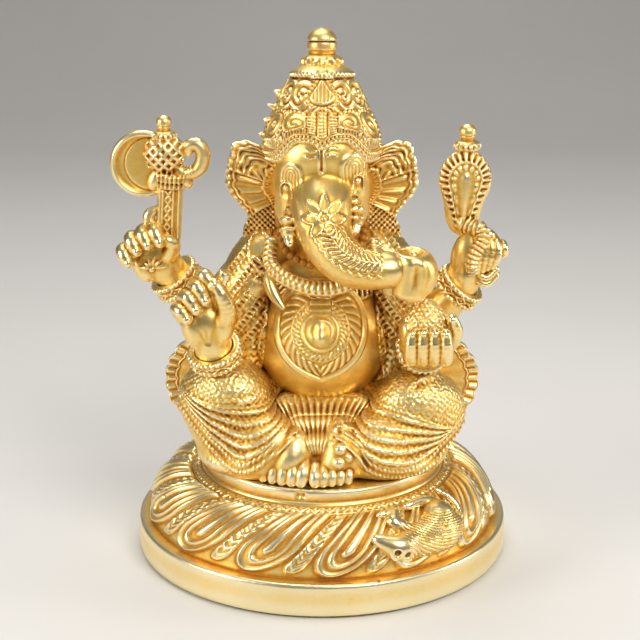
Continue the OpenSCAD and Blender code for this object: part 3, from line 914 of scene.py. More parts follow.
@dataclass(frozen=True)
class Figure:
    """Places that the pieces are built from, in millimetres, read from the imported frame."""

    foot_r: float
    seat: float
    skull: Array
    belly: Array
    shoulder: float
    low: dict[str, Array]
    high: dict[str, Array]

    @staticmethod
    def from_frame(nodes: Iterable[str]) -> "Figure":
        """Reads every node's box and works out the main places."""
        low = {n: np.array(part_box(n)[0]) / MM for n in nodes}
        high = {n: np.array(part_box(n)[1]) / MM for n in nodes}
        skull_r = -low["head"][0]
        skull = vec(0.0, high["head"][1] - NAPE - skull_r, high["head"][2] - BROW_SHARE * skull_r)
        medallion_z = (low["medallion"][2] + high["medallion"][2]) / 2.0
        belly = vec(0.0, -BELLY_LEAD, medallion_z - MEDALLION_RISE)
        shoulder = skull[2] - NECK
        return Figure(high["pedestal"][0], high["pedestal"][2], skull, belly, shoulder, low, high)

    def middle(self, node: str) -> Array:
        """The middle of a node's box."""
        return (self.low[node] + self.high[node]) / 2.0


@dataclass
class Work:
    """What every part of the idol is made from: its places and its finishes."""

    figure: Figure
    finishes: Finishes


# ---- Shared ornament ----


def ribbon(x: Array, y: Array, z: Array, path: Array, outward: Point) -> tuple[Array, Array, Array]:
    """Places on a band that follows a path over a surface.

    Args:
        x: the points' X.
        y: the points' Y.
        z: the points' Z.
        path: the band's middle line, one row each.
        outward: the direction that the surface faces there.

    Returns:
        The run along the path in millimetres, the signed distance across it, and how far out it lies.
    """
    face = unit(np.array(outward, dtype=float))
    best = np.full(x.shape, 1e9)
    run, side, out = (np.zeros(x.shape) for _ in range(3))
    start = 0.0
    for a, b in zip(path[:-1], path[1:]):
        d = b - a
        length = float(np.linalg.norm(d))
        across = unit(np.cross(d, face))
        ox, oy, oz = x - a[0], y - a[1], z - a[2]
        t = np.clip((ox * d[0] + oy * d[1] + oz * d[2]) / length**2, 0, 1)
        gx, gy, gz = ox - t * d[0], oy - t * d[1], oz - t * d[2]
        gap = gx**2 + gy**2 + gz**2
        closer = gap < best
        best = np.where(closer, gap, best)
        run = np.where(closer, start + t * length, run)
        side = np.where(closer, gx * across[0] + gy * across[1] + gz * across[2], side)
        out = np.where(closer, gx * face[0] + gy * face[1] + gz * face[2], out)
        start += length
    return run, side, out


def ridge_round(clay: Clay, line: Array, height: float, pitch: float, reach: float) -> None:
    """Raises even rings round a limb along its middle line.

    Args:
        clay: the clay to work on.
        line: the limb's middle line.
        height: how far the rings stand.
        pitch: distance from ring to ring.
        reach: how far from the line they go.
    """

    def rings(x: Array, y: Array, z: Array) -> Array:
        """Height of the rings."""
        run, _, _ = ribbon(x, y, z, line, (0, -1, 0))
        gap, _ = to_path(x, y, z, line)
        return height * wave(run, pitch) * (gap < reach)

    clay.emboss(rings, line.min(axis=0) - reach, line.max(axis=0) + reach)


def stippling(x: Array, y: Array, z: Array, pitch: float) -> Array:
    """Uneven punched bumps of about the given pitch, from -1 to 1."""
    k = TURN / (1.62 * pitch)
    u = k * x + 0.9 * np.sin(0.31 * k * y + 1.0)
    v = k * y + 0.9 * np.sin(0.27 * k * z + 2.0)
    w = k * z + 0.9 * np.sin(0.29 * k * x)
    return (np.sin(u) * np.cos(v) + np.sin(v) * np.cos(w) + np.sin(w) * np.cos(u)) / 1.5


def pearl_row(run: Array, gap: Array, pitch: float, width: float) -> Array:
    """Height of a row of pearls along a line, from the run along it and the distance across it."""
    return bump(gap, width) * (0.45 + 0.55 * wave(run, pitch))


# ---- Legs and dress ----


@dataclass
class Legs(Work):
    """Crossed legs in a stippled, pleated dress, with both feet, the apron and the sash ends."""

    grain: float = 0.32
    pleat_count: float = 5.0
    toe_reach: float = 36.6

    def leg(self, clay: Clay, side: Side) -> None:
        """Models one thigh, knee and shin."""
        s = side.value
        lift = 1.6 if side is Side.RIGHT else -1.6
        floor = self.figure.seat
        clay.add(limb((s * 10, 5, floor + 13.5), 13.5, (s * 25, -6, floor + 15 + lift), 13.0), 4)
        clay.add(egg((s * 29.2, -12.5, floor + 18.2 + lift), (14.4, 12.5, 13.2 + 0.3 * lift),
                     (0, 0, s * 12)), 4)
        clay.add(egg((s * 27.5, -17, floor + 22.6 + lift), (11.0, 9.0, 8.4), (-12, s * -8, s * 8)), 3)
        clay.add(limb((s * 27, -15, floor + 11.5), 12.0, (s * 17, -22, floor + 9), 9.6), 4)
        clay.add(limb((s * 17, -22, floor + 9), 9.6, (s * 9, -26, floor + 7.5), 7.0), 3)
        clay.add(egg((s * 21, -18, floor + 4.2), (16.5, 14.0, 6.0), (0, 0, s * 20)), 3)

    def feet(self, clay: Clay) -> None:
        """Models the two feet side by side, soles down, with toes and the jewels of an anklet."""
        floor = self.figure.seat
        clay.add(egg((-9.6, -25.6, floor + 4.2), (8.2, 6.0, 4.8), (0, 0, 12)), 2)
        clay.add(egg((-1.2, -26, floor + 3.0), (6.0, 5.0, 4.0)), 2)
        clay.rope([(-7.2, -27, floor + 13, 2.4), (-8.8, -29.2, floor + 8, 3.7),
                   (-11.4, -30.0, floor + 3.9, 3.1)], 1.5)
        for k in range(5):
            x = -17.4 + 2.8 * k
            size = 1.5 + 0.12 * k
            out = size - math.sqrt(self.toe_reach**2 - x * x)
            clay.rope([(x + 1.2, out + 3.4, floor + 6.6, size * 0.8), (x + 0.5, out + 0.5, floor + 4.2, size),
                       (x, out, floor + 1.7, size * 0.95)], 0.3)
        clay.add(egg((4.4, -26.0, floor + 5.6), (7.0, 6.0, 6.0), (0, 0, -14)), 2)
        clay.rope([(5.2, -25, floor + 15.0, 3.2), (5.0, -29.0, floor + 9.0, 4.1),
                   (3.0, -30.4, floor + 4.2, 3.3)], 1.5)
        for k in range(5):
            x = -1.9 + 2.45 * k
            size = 1.75 - 0.12 * k
            out = size - math.sqrt(self.toe_reach**2 - x * x) + 0.3 * k
            clay.rope([(x, out + 3.2, floor + 5.6, size * 0.85), (x - 0.1, out + 0.4, floor + 3.6, size),
                       (x - 0.2, out, floor + 1.7, size * 0.95)], 0.3)
        for x, y, z, r in ((5.2, -32.3, 11.2, 1.9), (7.6, -32.4, 8.7, 1.5), (4.8, -33.3, 7.4, 1.9)):
            clay.add(ball((x, y, floor + z), r), 0.3)

    def pleats(self, side: Side) -> Relief:
        """Soft folds that fan from the groin round under the knee, with a double beaded hem below them."""
        s = side.value
        floor = self.figure.seat
        if side is Side.RIGHT:
            crest_line = [(2, 25.5), (8, 24.8), (11.7, 23.6), (16.4, 21.8), (26.5, 22.0),
                          (36, 23.2), (44, 26)]
            hem_line = [(2, 21.5), (8.3, 15.2), (11.6, 11.5), (18.9, 5.7), (25, 3.6), (31.9, 7.7),
                        (37, 12.5), (44, 20)]
        else:
            crest_line = [(2, 16.5), (4, 18.6), (8, 21.0), (12, 22.3), (19, 21.8), (25, 20), (31, 17.7),
                          (37, 14.9), (44, 12)]
            hem_line = [(2, 17.0), (4.6, 14.6), (10, 9.4), (13, 5.2), (18.4, 2.4), (26.4, 1.8), (33.3, 4.1),
                        (38, 8), (44, 13)]
        crests, hems = smooth_path(crest_line), smooth_path(hem_line)

        def relief(x: Array, y: Array, z: Array) -> Array:
            """Height of the folds at each point."""
            u, level = s * x, z - floor
            first = np.interp(u, crests[:, 0], crests[:, 1])
            hem = np.interp(u, hems[:, 0], hems[:, 1])
            slope = np.interp(u + 0.5, hems[:, 0], hems[:, 1]) - np.interp(u - 0.5, hems[:, 0], hems[:, 1])
            gap = (level - hem) / np.sqrt(1 + slope**2)
            fall = np.clip((first - level) / np.maximum(first - hem - 3.2, 2.5), -1, 1.2)
            front = step(-y, -4.0, 5.0)
            on_folds = step(fall, -0.02, 0.05) * step(gap, 3.4, 0.4)
            swell = 0.5 - 0.5 * np.cos(TURN * self.pleat_count * np.clip(fall, 0, 1))
            run = np.hypot(u, level) * 1.25
            pearls = 0.62 + 0.38 * wave(run, 1.45)
            trim = (0.85 * bump(gap, 0.6) * pearls + 0.6 * bump(gap - 2.3, 0.55) * (1.2 - pearls)
                    + 0.25 * bump(gap - 3.3, 0.25))
            grain = stippling(x, y, z, 1.1)
            cloth = step(gap, -0.8, 0.3)
            thigh = 0.08 + 0.07 * (1 - on_folds)
            height = (on_folds * 0.58 * swell**1.4 + 0.35 * bump(fall, 0.035) + trim
                      + thigh * grain * step(gap, 3.2, 0.4))
            behind = 0.10 * grain + 0.5 * (0.5 + 0.5 * wave(z - 0.25 * u, 3.4)) ** 2
            return (front * cloth * height + (1 - front) * behind) * step(z, floor + 0.4, 0.4)

        return relief

    def dress(self, clay: Clay) -> None:
        """Cuts the folds, keeps the feet smooth and lays the diagonal fold over the left knee."""
        floor = self.figure.seat

        def feet_mask(x: Array, y: Array, z: Array) -> Array:
            """One on the bare feet and none on the cloth."""
            right = np.hypot((x + 9.4 + 0.25 * (z - floor)) / 8.4, (z - floor - 1.0) / 8.6)
            left = np.hypot((x - 4.0) / 6.4, (z - floor - 3.5) / 10.0)
            return (1 - step(np.minimum(right, left), 1.0, 0.08)) * step(-y, 22.5, 2.0)

        right, left = self.pleats(Side.RIGHT), self.pleats(Side.LEFT)

        def relief(x: Array, y: Array, z: Array) -> Array:
            """Folds on both legs, off the feet."""
            both = np.where(x < 0, right(x, y, z), left(x, y, z))
            return both * (1 - feet_mask(x, y, z)) * step(np.abs(x), 3.5, 1.5)

        clay.emboss(relief, reach=2.2)
        diagonal = smooth_path([(3.4, -29.5, floor + 16.5), (11.5, -27.5, floor + 24.0),
                                (20, -26.5, floor + 27.6),
                                (28, -22.5, floor + 29.6), (35, -15.5, floor + 28.6)])
        clay.stroke(diagonal, 1.1, 0.9)
        clay.stroke(diagonal + vec(0.4, -0.4, -2.2), 0.7, -0.35)
        inner = smooth_path([(-6.8, -30, floor + 15), (-9.8, -26.5, floor + 21), (-15, -24, floor + 24.6),
                             (-24, -26, floor + 23.4)])
        clay.stroke(inner, 0.8, 0.7)

    def build_dress(self) -> None:
        """Casts both legs and the dress as one."""
        low, high = self.figure.low["legs"], self.figure.high["legs"]
        floor = self.figure.seat
        clay = Clay((low[0] - 2.5, low[1] - 3.5, floor - 1.5), (high[0] + 2.5, high[1] + 2.0, high[2] + 4.0),
                    self.grain)
        clay.add(egg((0, 4, floor + 12), (24, 15, 12)), 2)
        for side in Side:
            self.leg(clay, side)
        self.feet(clay)
        self.dress(clay)
        clay.cut(slab((0, 0, floor - 4.95), (60, 60, 5.0), 0.0), 0.6)
        shell = clay.fired()
        x, y, z = shell.points.T
        front = np.clip((-y - 2.0) / 8.0, 0, 1)
        shell.masks["stipple"] = 0.55 + 0.25 * front
        bare = (np.hypot((x + 3) / 13.5, (z - floor - 2.0) / 11.0) < 1) & (y < -25)
        shell.masks["stipple"][bare] = 0.0
        hand_in("draped_legs", shell, self.finishes.cloth, Slot.CLOTH, "legs")

    def build_apron(self) -> None:
        """Casts the fan of pleats between the legs."""
        floor = self.figure.seat
        clay = Clay((-14, -35, floor + 3.5), (15, -8, floor + 27), 0.28)
        top, foot = floor + 23.2, floor + 9.5
        clay.add(limb((-10.8, -14.6, top - 3.8), 3.0, (11.2, -14.6, top - 3.8), 3.0), 2)
        clay.add(limb((-6.4, -20.8, top - 9.0), 3.5, (6.8, -20.8, top - 9.0), 3.7), 7)
        clay.add(limb((-2.6, -27.4, foot + 1.5), 3.2, (1.2, -27.4, foot + 1.5), 3.2), 3)

        def relief(x: Array, y: Array, z: Array) -> Array:
            """Narrow folds that spread upward, under a stippled waist."""
            share = np.clip((z - foot) / (top - foot), 0, 1)
            fan = (x + 1.2) / (0.9 + 2.1 * share)
            folds = 0.48 * (0.5 + 0.5 * np.cos(TURN * fan * 1.25)) ** 1.5
            waist = step(z, top - 1.8, 1.0)
            return folds * (1 - 0.75 * waist) + waist * 0.14 * stippling(x, y, z, 1.2)

        clay.emboss(relief)
        shell = clay.fired()
        shell.masks["stipple"] = 0.5 * (shell.points[:, 2] > top - 5)
        hand_in("pleated_apron", shell, self.finishes.cloth, Slot.CLOTH, "apron")

    def build_sash(self, side: Side) -> None:
        """Casts one fluted sash end that stands out beside the hip."""
        s = side.value
        node = f"{side.name.lower()}_sash_end"
        low, high = self.figure.low[node], self.figure.high[node]
        rows, columns = 96, 150
        share = np.linspace(0, 1, rows)[:, None]
        turn = np.linspace(math.radians(48), math.radians(-46), columns)[None, :]
        heart_x, heart_z = abs(self.figure.middle(node)[0]) - 14.8, low[2] + 0.46 * (high[2] - low[2]) + 3.0
        edge = 25.0 + 0.8 * np.abs(np.sin(turn * 13.0))
        reach = 9.0 + (edge - 9.0) * share
        x = s * (heart_x + reach * np.cos(turn) * (0.86 + 0.06 * np.cos(turn)))
        z = heart_z + reach * np.sin(turn) * 0.72
        flute = 0.5 + 0.5 * np.cos(turn * 44.0)
        border = between(share, 0.80, 0.965, 0.012)
        inner = between(share, 0.2, 0.72, 0.05)
        lift = 0.55 * flute * border + 0.25 * (0.5 + 0.5 * np.cos(turn * 22.0)) * inner
        lift += 0.5 * bump(share - 0.77, 0.02) + 0.45 * bump(share - 0.985, 0.015)
        ripple = 0.9 * np.cos(turn * 6.5) * share**2
        y = (low[1] + high[1]) / 2 - 0.8 + ripple
        shell = fan_plate(side, x, y, z, 1.1, lift, 0.6).mark_hollows(0.08, 0.4)
        shell.masks["stipple"] = np.zeros(len(shell.points))
        hand_in(f"{side.name.lower()}_sash_fan", shell, self.finishes.cloth, Slot.CLOTH, node)

    def build(self) -> None:
        """Builds everything below the waist."""
        self.build_dress()
        self.build_apron()
        for side in Side:
            self.build_sash(side)


# ---- Torso ----


@dataclass
class Torso(Work):
    """The bare belly and chest, the shawl over the shoulders, the necklaces and the medallion."""

    grain: float = 0.32
    medal_r: float = 14.2
    necklace_r: float = 2.3

    def form(self) -> Clay:
        """Models the body and the shawl."""
        b = self.figure.belly
        top = self.figure.shoulder
        clay = Clay((-31, -27, b[2] - 19), (31, 18, top + 12.5), self.grain)
        clay.add(egg(b + vec(0, 0.6, 1.2), (20.6, 19.4, 19.6)))
        clay.add(egg((0, -1, top - 4), (16.5, 12.5, 11.5)), 5)
        for side in Side:
            s = side.value
            clay.add(ball((s * 16.5, 1.5, top + 0.5), 7.4), 4)
            clay.rope([(s * 8, 3, top + 5.0, 6.5), (s * 18, 0.5, top + 3.0, 7.2),
                       (s * 23.2, -2.5, top - 6, 6.9), (s * 24.2, -3.5, top - 15.5, 6.0)], 2.0)
            clay.rope([(s * 7, 9, top + 4.5, 6.0), (s * 14, 8.0, top - 6, 7.0),
                       (s * 14.5, 7.5, top - 20, 7.0), (s * 13, 6.0, top - 34, 6.0)], 3.0)
            clay.rope([(s * 20, -3, top - 12, 6.0), (s * 20.5, -4, top - 24, 5.6),
                       (s * 20, -5, top - 34, 5.0), (s * 18, -6, top - 42, 4.0)], 1.5)
        clay.add(limb((0, 3, top), 8.5, (0, 1, top + 12), 8.0), 3)
        return clay

    def cloth_mask(self, x: Array, y: Array, z: Array) -> Array:
        """One on the shawl and none on the bare body."""
        top = self.figure.shoulder
        fall = 15.2 + 0.10 * np.clip(top - z, 0, 40)
        side = step(np.abs(x), fall, 0.5)
        behind = step(y, 3.0, 1.0)
        return np.maximum(side, behind)

    def shawl(self, clay: Clay) -> None:
        """Raises the shawl, with its woven bands, and polishes the patch on the right shoulder."""
        top = self.figure.shoulder

        def relief(x: Array, y: Array, z: Array) -> Array:
            """Height of the shawl at each point."""
            s = np.abs(x)
            mask = self.cloth_mask(x, y, z)
            band = (s * 0.80 + z * 0.62 - top) / 4.2
            phase = band - np.floor(band)
            lines = wave(s * 0.62 - z * 0.80, 1.7)
            weave = np.where(phase < 0.5, 0.15 * lines, 0.11 * stippling(x, y, z, 1.3))
            weave = weave + 0.26 * bump(phase - 0.5, 0.09) + 0.26 * bump(phase - 0.02, 0.08)
            folds = 0.45 * np.cos(TURN * x / 3.1 + 0.5 * np.sin(z * 0.3))
            pits = np.minimum(0.0, 0.2 + stippling(x, y, z, 1.35)) * 0.4
            weave = np.where(z < top - 11 - 0.4 * s, pits, weave)
            pattern = np.where(y > 3.0, folds, weave)
            bald = np.hypot((x + 18.6) / 3.4, (z - top - 7.0) / 4.4)
            pattern = pattern * step(bald, 1.0, 0.12) + 0.35 * bump(bald - 1.05, 0.10) * (x < 0) * (y < 3)
            return mask * (0.5 + pattern)

        clay.emboss(relief, reach=2.0)
        for side in Side:
            s = side.value
            edge = smooth_path([(s * 14.6, -11.0, top + 4), (s * 16.4, -13.0, top - 4),
                                (s * 17.8, -13.5, top - 14), (s * 19.6, -12.5, top - 24)])
            clay.stroke(edge, 0.6, 0.7)
        clay.cut(ball(self.figure.belly + vec(0, -19.9, -9.6), 0.9), 0.7)

    def build_body(self) -> None:
        """Casts the body and shawl."""
        clay = self.form()
        self.shawl(clay)
        line = self.necklace_line()

        def fringe(x: Array, y: Array, z: Array) -> Array:
            """Small leaves that hang below the rope."""
            run, side, _ = ribbon(x, y, z, line, (0, -1, 0.35))
            leaves = 0.30 + 0.32 * wave(run + 0.5 * side, 2.0)
            return between(side, 1.6, 5.2, 0.3) * leaves + 0.35 * bump(side - 5.5, 0.3)

        clay.emboss(fringe, line.min(axis=0) - 6, line.max(axis=0) + vec(0, 3, -4))
        shell = clay.fired()
        x, y, z = shell.points.T
        mask = self.cloth_mask(x, y, z)
        shell.masks["stipple"] = 0.25 * mask
        shell.masks["hollow"] = np.clip(shell.masks["hollow"] + 0.06 * (1 - mask), 0, 1)
        hand_in("bare_body", shell, self.finishes.body, Slot.SKIN, "torso")

    def necklace_line(self) -> Array:
        """The middle line of the rope necklace, from the right shoulder round the chest to the left."""
        top = self.figure.shoulder
        return smooth_path([(-15.0, -8.5, top + 9.5), (-15.2, -12.5, top + 4.6), (-12.0, -16.0, top + 1.6),
                            (-6.0, -18.8, top - 0.6),
                            (0.4, -19.6, top - 1.4), (6.0, -18.8, top - 0.6), (12.0, -16.0, top + 1.6),
                            (15.2, -12.5, top + 4.6), (15.0, -8.5, top + 9.5)], 10)

    def build_necklaces(self) -> None:
        """Casts the ribbed rope and the string of beads over it, whose darkness is painted shade."""
        line = self.necklace_line()
        clay = Clay((-20, -25, line[:, 2].min() - 4.5), (20, -4, line[:, 2].max() + 4), 0.26)
        swell = 0.62 + 0.38 * np.sin(np.pi * np.linspace(0.08, 0.92, len(line)))
        thick = self.necklace_r * swell
        for a, b, ra, rb in zip(line[:-1], line[1:], thick[:-1], thick[1:]):
            clay.add(limb(a, ra, b, rb))

        def relief(x: Array, y: Array, z: Array) -> Array:
            """Ribs across the rope."""
            run, side, _ = ribbon(x, y, z, line, (0, -1, 0.35))
            ribs = 0.5 + 0.5 * wave(run, 1.75)
            return (0.42 * ribs**1.3 * (1 - step(np.abs(side), 2.0, 0.4))
                    + 0.35 * bump(np.abs(side) - 2.1, 0.3))

        clay.emboss(relief)
        shell = clay.fired()
        top = self.figure.shoulder
        string = smooth_path([(-12.6, -9.5, top + 17.5), (-12.2, -12.5, top + 13), (-10.6, -15.8, top + 9.2),
                              (-7.6, -18.2, top + 7.2), (-3.4, -19.6, top + 5.8)])
        small = beads(along(string, 2.1), 1.3)
        # A fixed high hollow value paints the beads dark as painted shade.
        small.masks["hollow"] = np.full(len(small.points), 0.84)
        mirrored = Shell(small.points * vec(-1, 1, 1), [f[:, ::-1] for f in small.faces], dict(small.masks))
        hand_in("rope_necklace", shell, self.finishes.ornament, Slot.ORNAMENT, "necklace")
        hand_in("bead_string", join([small, mirrored]), self.finishes.ornament, Slot.ORNAMENT, "necklace")

    def build_medallion(self) -> None:
        """Casts the pointed medallion: crescent rim, leaf ring, rope ring and a boss in the middle."""
        b = self.figure.belly
        middle = b + vec(-0.4, 0, 8.7)
        clay = Clay((-18, -30, b[2] - 11), (18, -5, b[2] + 26), 0.24)
        clay.add(egg(b + vec(0, 0.6, 1.2), (21.3, 20.1, 20.3)))
        clay.add(egg((0, -1, self.figure.shoulder - 4), (17.2, 13.2, 12.2)), 5)

        def place(x: Array, z: Array) -> tuple[Array, Array]:
            """Reach from the middle, shortened at the foot so that the outline runs to a point, and turn."""
            turn = np.arctan2(x - middle[0], middle[2] - z)
            return np.hypot(x - middle[0], z - middle[2]) - 1.5 * np.exp(-np.abs(turn) / 0.24), turn

        x, y, z = np.ix_(*clay.axes)
        clay.field = np.maximum(np.maximum(clay.field, place(x, z)[0] - self.medal_r),
                                y + 8.0).astype(np.float32)

        def relief(x: Array, y: Array, z: Array) -> Array:
            """Height of the ornament at each point."""
            dx, dz = x - middle[0], z - middle[2]
            reach, turn = place(x, z)
            low = step(-dz, -2.0, 4.0)
            rim = 0.95 * (1 - step(np.abs(reach - 13.1), 0.35 + 0.55 * low, 0.35)) * (0.25 + 0.75 * low)
            lean = 2.6 * np.sign(dx) * (reach - 10.2)
            leaves = between(reach, 8.9, 11.9, 0.25) * (0.30 + 0.27 * np.cos(turn * 27 + lean))
            near = np.hypot(dx, dz)
            rope = 0.55 * bump(near - 7.3, 1.0) * (0.7 + 0.3 * np.cos(turn * 34 + 3.2 * near))
            rope += 0.12 * stippling(x, y, z, 0.9) * bump(near - 7.3, 1.2)
            channel = 0.4 * bump(near - 5.3, 0.35) + 0.3 * bump(near - 8.5, 0.25)
            boss = (bump(np.hypot(dx / 1.9, (dz + 1.2) / 2.1), 0.95)
                    + 0.8 * bump(np.hypot(dx / 1.6, (dz - 1.9) / 1.7), 0.95))
            curl = 0.45 * bump(np.hypot(dx - 0.2, dz) - 3.5, 0.4) * step(dz + 0.8 * np.abs(dx), 0.0, 1.0)
            bars = 0.45 * (0.5 + 0.5 * wave(dz - 6, 1.6)) * between(dz, 4.6, 9.6, 0.3) * (np.abs(dx) < 3.0)
            clear = 1 - step(dz, 4.4, 0.4) * (np.abs(dx) < 3.4)
            return rim + leaves + (rope + channel) * clear + boss + curl + bars

        clay.emboss(relief, reach=1.4)
        shell = clay.fired(0.13, 0.7)
        hand_in("belly_medallion", shell, self.finishes.ornament, Slot.ORNAMENT, "medallion")

    def build_strap(self) -> None:
        """Casts the polished strap, painted pale as a highlight, from the right of the chest down to the
        medallion, in one smooth curve.
        """
        top = self.figure.shoulder
        line = smooth_path([(-15.9, -12.6, top + 2.6, 0.9), (-15.4, -14.4, top - 1.0, 1.8),
                            (-14.0, -16.2, top - 4.4, 1.8), (-11.6, -18.4, top - 7.4, 0.9)])
        clay = Clay((-20, -24, top - 12), (-4, -8, top + 6), 0.25)
        for a, b in zip(line[:-1], line[1:]):
            clay.add(limb(a[:3], a[3], b[:3], b[3]))
        shell = clay.fired()
        # A fixed low hollow value paints the strap pale as a painted highlight and gives it the lower
        # roughness of polished metal.
        shell.masks["hollow"] = np.full(len(shell.points), 0.3)
        hand_in("chest_strap", shell, self.finishes.skin, Slot.SKIN)

    def build(self) -> None:
        """Builds the torso and what hangs on it."""
        self.build_body()
        self.build_necklaces()
        self.build_medallion()
        self.build_strap()


# ---- Head ----


@dataclass
class Head(Work):
    """The elephant's head: face, trunk, ears, tusks and the sweet that the trunk holds."""

    grain: float = 0.3
    left_tusk_lift: float = 3.2

    def tusk_lift(self, side: Side) -> float:
        """How much higher this tusk is set than the right one."""
        return self.left_tusk_lift if side is Side.LEFT else 0.0

    def at(self, *points: Point) -> list[tuple[float, ...]]:
        """Points given from the skull's middle level, as points of the figure."""
        base = self.figure.skull[2]
        return [(p[0], p[1], p[2] + base, *p[3:]) for p in points]

    def trunk_line(self) -> list[tuple[float, ...]]:
        """The trunk's middle line and radii, from its root to the sweet."""
        return self.at((0, -12.5, -1.5, 8.2), (0.2, -16.5, -5.2, 7.6), (0.9, -21.0, -9.8, 6.8),
                       (4.2, -25.0, -14.6, 6.0),
                       (9.0, -27.4, -17.4, 5.3), (14.4, -28.4, -18.3, 4.7), (20.0, -28.4, -18.0, 4.5))

    def form(self) -> Clay:
        """Models the head and trunk."""
        base = self.figure.skull[2]
        clay = Clay((-17, -36, base - 29), (25, 15, base + 23), self.grain)
        level = vec(0, 0, base)
        clay.add(egg(level + vec(0, 0, 2.5), (13.4, 13.2, 12.6)))
        clay.add(egg(level + vec(0, -5.5, 11.2), (13.2, 11.2, 10.6)), 2.5)
        for side in Side:
            s = side.value
            clay.add(egg(level + vec(s * 5.2, -7.6, 7.8), (6.8, 6.6, 6.4)), 3)
            clay.add(egg(level + vec(s * 9.8, -7.0, 1.0), (4.2, 6.0, 9.0), (0, 0, s * 10)), 2.5)
            clay.add(egg(level + vec(s * 9.0, -6.5, -7.5), (5.0, 6.4, 7.0)), 3)
        clay.add(egg(level + vec(0, -9.4, 0.5), (9.2, 8.0, 9.5)), 3)
        clay.add(egg(level + vec(0, -8.5, -12.5), (8.4, 8.5, 7.0)), 3)
        clay.rope(self.trunk_line(), 2.0)
        return clay

    def face(self, clay: Clay) -> None:
        """Chases the brow patches, eyes, cheeks, forehead line and marks."""
        base = self.figure.skull[2]

        def relief(x: Array, y: Array, z: Array) -> Array:
            """Height of the face's chasing at each point."""
            total = np.zeros(x.shape)
            for side, cx, cz, wide in ((Side.RIGHT, 9.1, 6.6, 3.2), (Side.LEFT, 9.2, 8.7, 3.8)):
                du, dz = side.value * x - cx, z - base - cz
                q = np.hypot(du, np.maximum(dz, 0.0)) / wide
                fade = step(dz, -3.6, 2.8)
                combed = 0.5 + 0.5 * np.cos(TURN * (q * 3.6 + 0.05 * np.clip(-dz, 0, 6)))
                total += (fade * (1 - step(q, 1.0, 0.07)) * (0.16 + 0.26 * combed)
                          + 0.26 * fade * bump(q - 1.03, 0.10))
                eu, ez = side.value * x - 10.6, z - base - cz + 4.2
                loop = np.hypot(eu, np.maximum(ez, 0.0)) / 1.55
                lid = step(ez, -2.6, 0.8)
                total += (lid * (0.5 * bump(loop - 1.0, 0.22) - 0.25 * (1 - step(loop, 0.8, 0.2)))
                          + 0.6 * bump(np.hypot(eu, ez + 0.3), 0.75))
                cheek = np.hypot((side.value * x - 8.4) / 3.4, (z - base - cz + 9.4) / 5.0)
                total += 0.6 * (1 - step(cheek, 0.9, 0.45))
            total *= step(-y, 3.0, 2.0)
            groove = bump(x + 0.15, 0.34) * between(z, base + 7.9, base + 16.5, 0.5)
            drop = bump(np.hypot(x + 0.15, z - base - 7.4), 0.6)
            total += step(-y, 8.0, 1.0) * (-0.65 * groove + 0.2 * bump(np.abs(x + 0.15) - 0.85, 0.3)
                                           * (groove > 0.0)
                                           * between(z, base + 7.6, base + 15.5, 0.5) + 0.45 * drop)
            for cx, cz, rise in ((-3.3, 12.0, 1), (-3.1, 13.8, 1), (3.0, 12.6, -1), (3.1, 14.4, -1)):
                bow = np.hypot((x - cx) / 1.7, (z - base - cz - rise * 0.5) / 1.0)
                total += (0.45 * bump(bow - 0.8, 0.28) * step(-rise * (z - base - cz - rise * 0.3), 0.0, 0.4)
                          * (y < -8))
            return total

        clay.emboss(relief, (-17, -26, base - 12), (17, 4, base + 20))

    def trunk_work(self, clay: Clay) -> None:
        """Chases the lotus at the trunk's root and the leaf garland that runs down the trunk."""
        base = self.figure.skull[2]
        line = smooth_path(self.trunk_line(), 8)[:, :3]

        def lotus(x: Array, y: Array, z: Array) -> Array:
            """Seven petals round a boss."""
            dx, dz = x - 0.5, (z - base + 3.4) * 1.06
            height = 0.6 * bump(np.hypot(dx, dz), 0.85) + 0.35 * bump(np.hypot(dx, dz) - 1.45, 0.3)
            for degrees in (0, 52, 98, 146, -146, -98, -52):
                ca, sa = math.cos(math.radians(degrees)), math.sin(math.radians(degrees))
                out = dz * ca + dx * sa - 3.9
                across = dx * ca - dz * sa
                q = np.hypot(out / 2.7, across / (1.45 * (1.0 - 0.12 * out)))
                height = np.maximum(height, 0.28 * (1 - step(q, 0.9, 0.1)) + 0.42 * bump(q - 0.92, 0.17))
            return height * (y < -13)

        clay.emboss(lotus, (-9, -32, base - 12), (9, -10, base + 6))

        def garland(x: Array, y: Array, z: Array) -> Array:
            """A long leaf with a vein, side veins and a scalloped edge."""
            run, side, out = ribbon(x, y, z, line, (0, -0.86, 0.5))
            w = side + 0.6
            wide = 4.6 - 0.035 * run
            live = between(run, 14.0, 33.5, 0.6) * (out > 0)
            vein = 0.55 * bump(w, 0.32)
            barbs = np.cos(TURN * (run + 0.75 * np.abs(w)) / 1.45)
            leaf = ((0.30 + 0.26 * barbs) * (1 - step(np.abs(w), wide - 1.0, 0.25))
                    * step(np.abs(w), 0.45, 0.2))
            scallop = wide + 0.55 * np.abs(np.sin(math.pi * run / 2.3))
            edge = 0.5 * bump(np.abs(w) - scallop, 0.30) + 0.25 * bump(np.abs(w) - scallop + 0.9, 0.22)
            return live * (vein + leaf + edge)

        clay.emboss(garland, (-8, -36, base - 29), (25, -12, base + 2))

        def wrinkles(x: Array, y: Array, z: Array) -> Array:
            """Faint rings under the trunk."""
            run, _, out = ribbon(x, y, z, line, (0, -0.86, 0.5))
            return 0.12 * wave(run, 2.2) * (1 - step(out, -1.0, 1.0)) * between(run, 18.0, 44.0, 2.0)

        clay.emboss(wrinkles, (-8, -36, base - 29), (25, -12, base - 5))

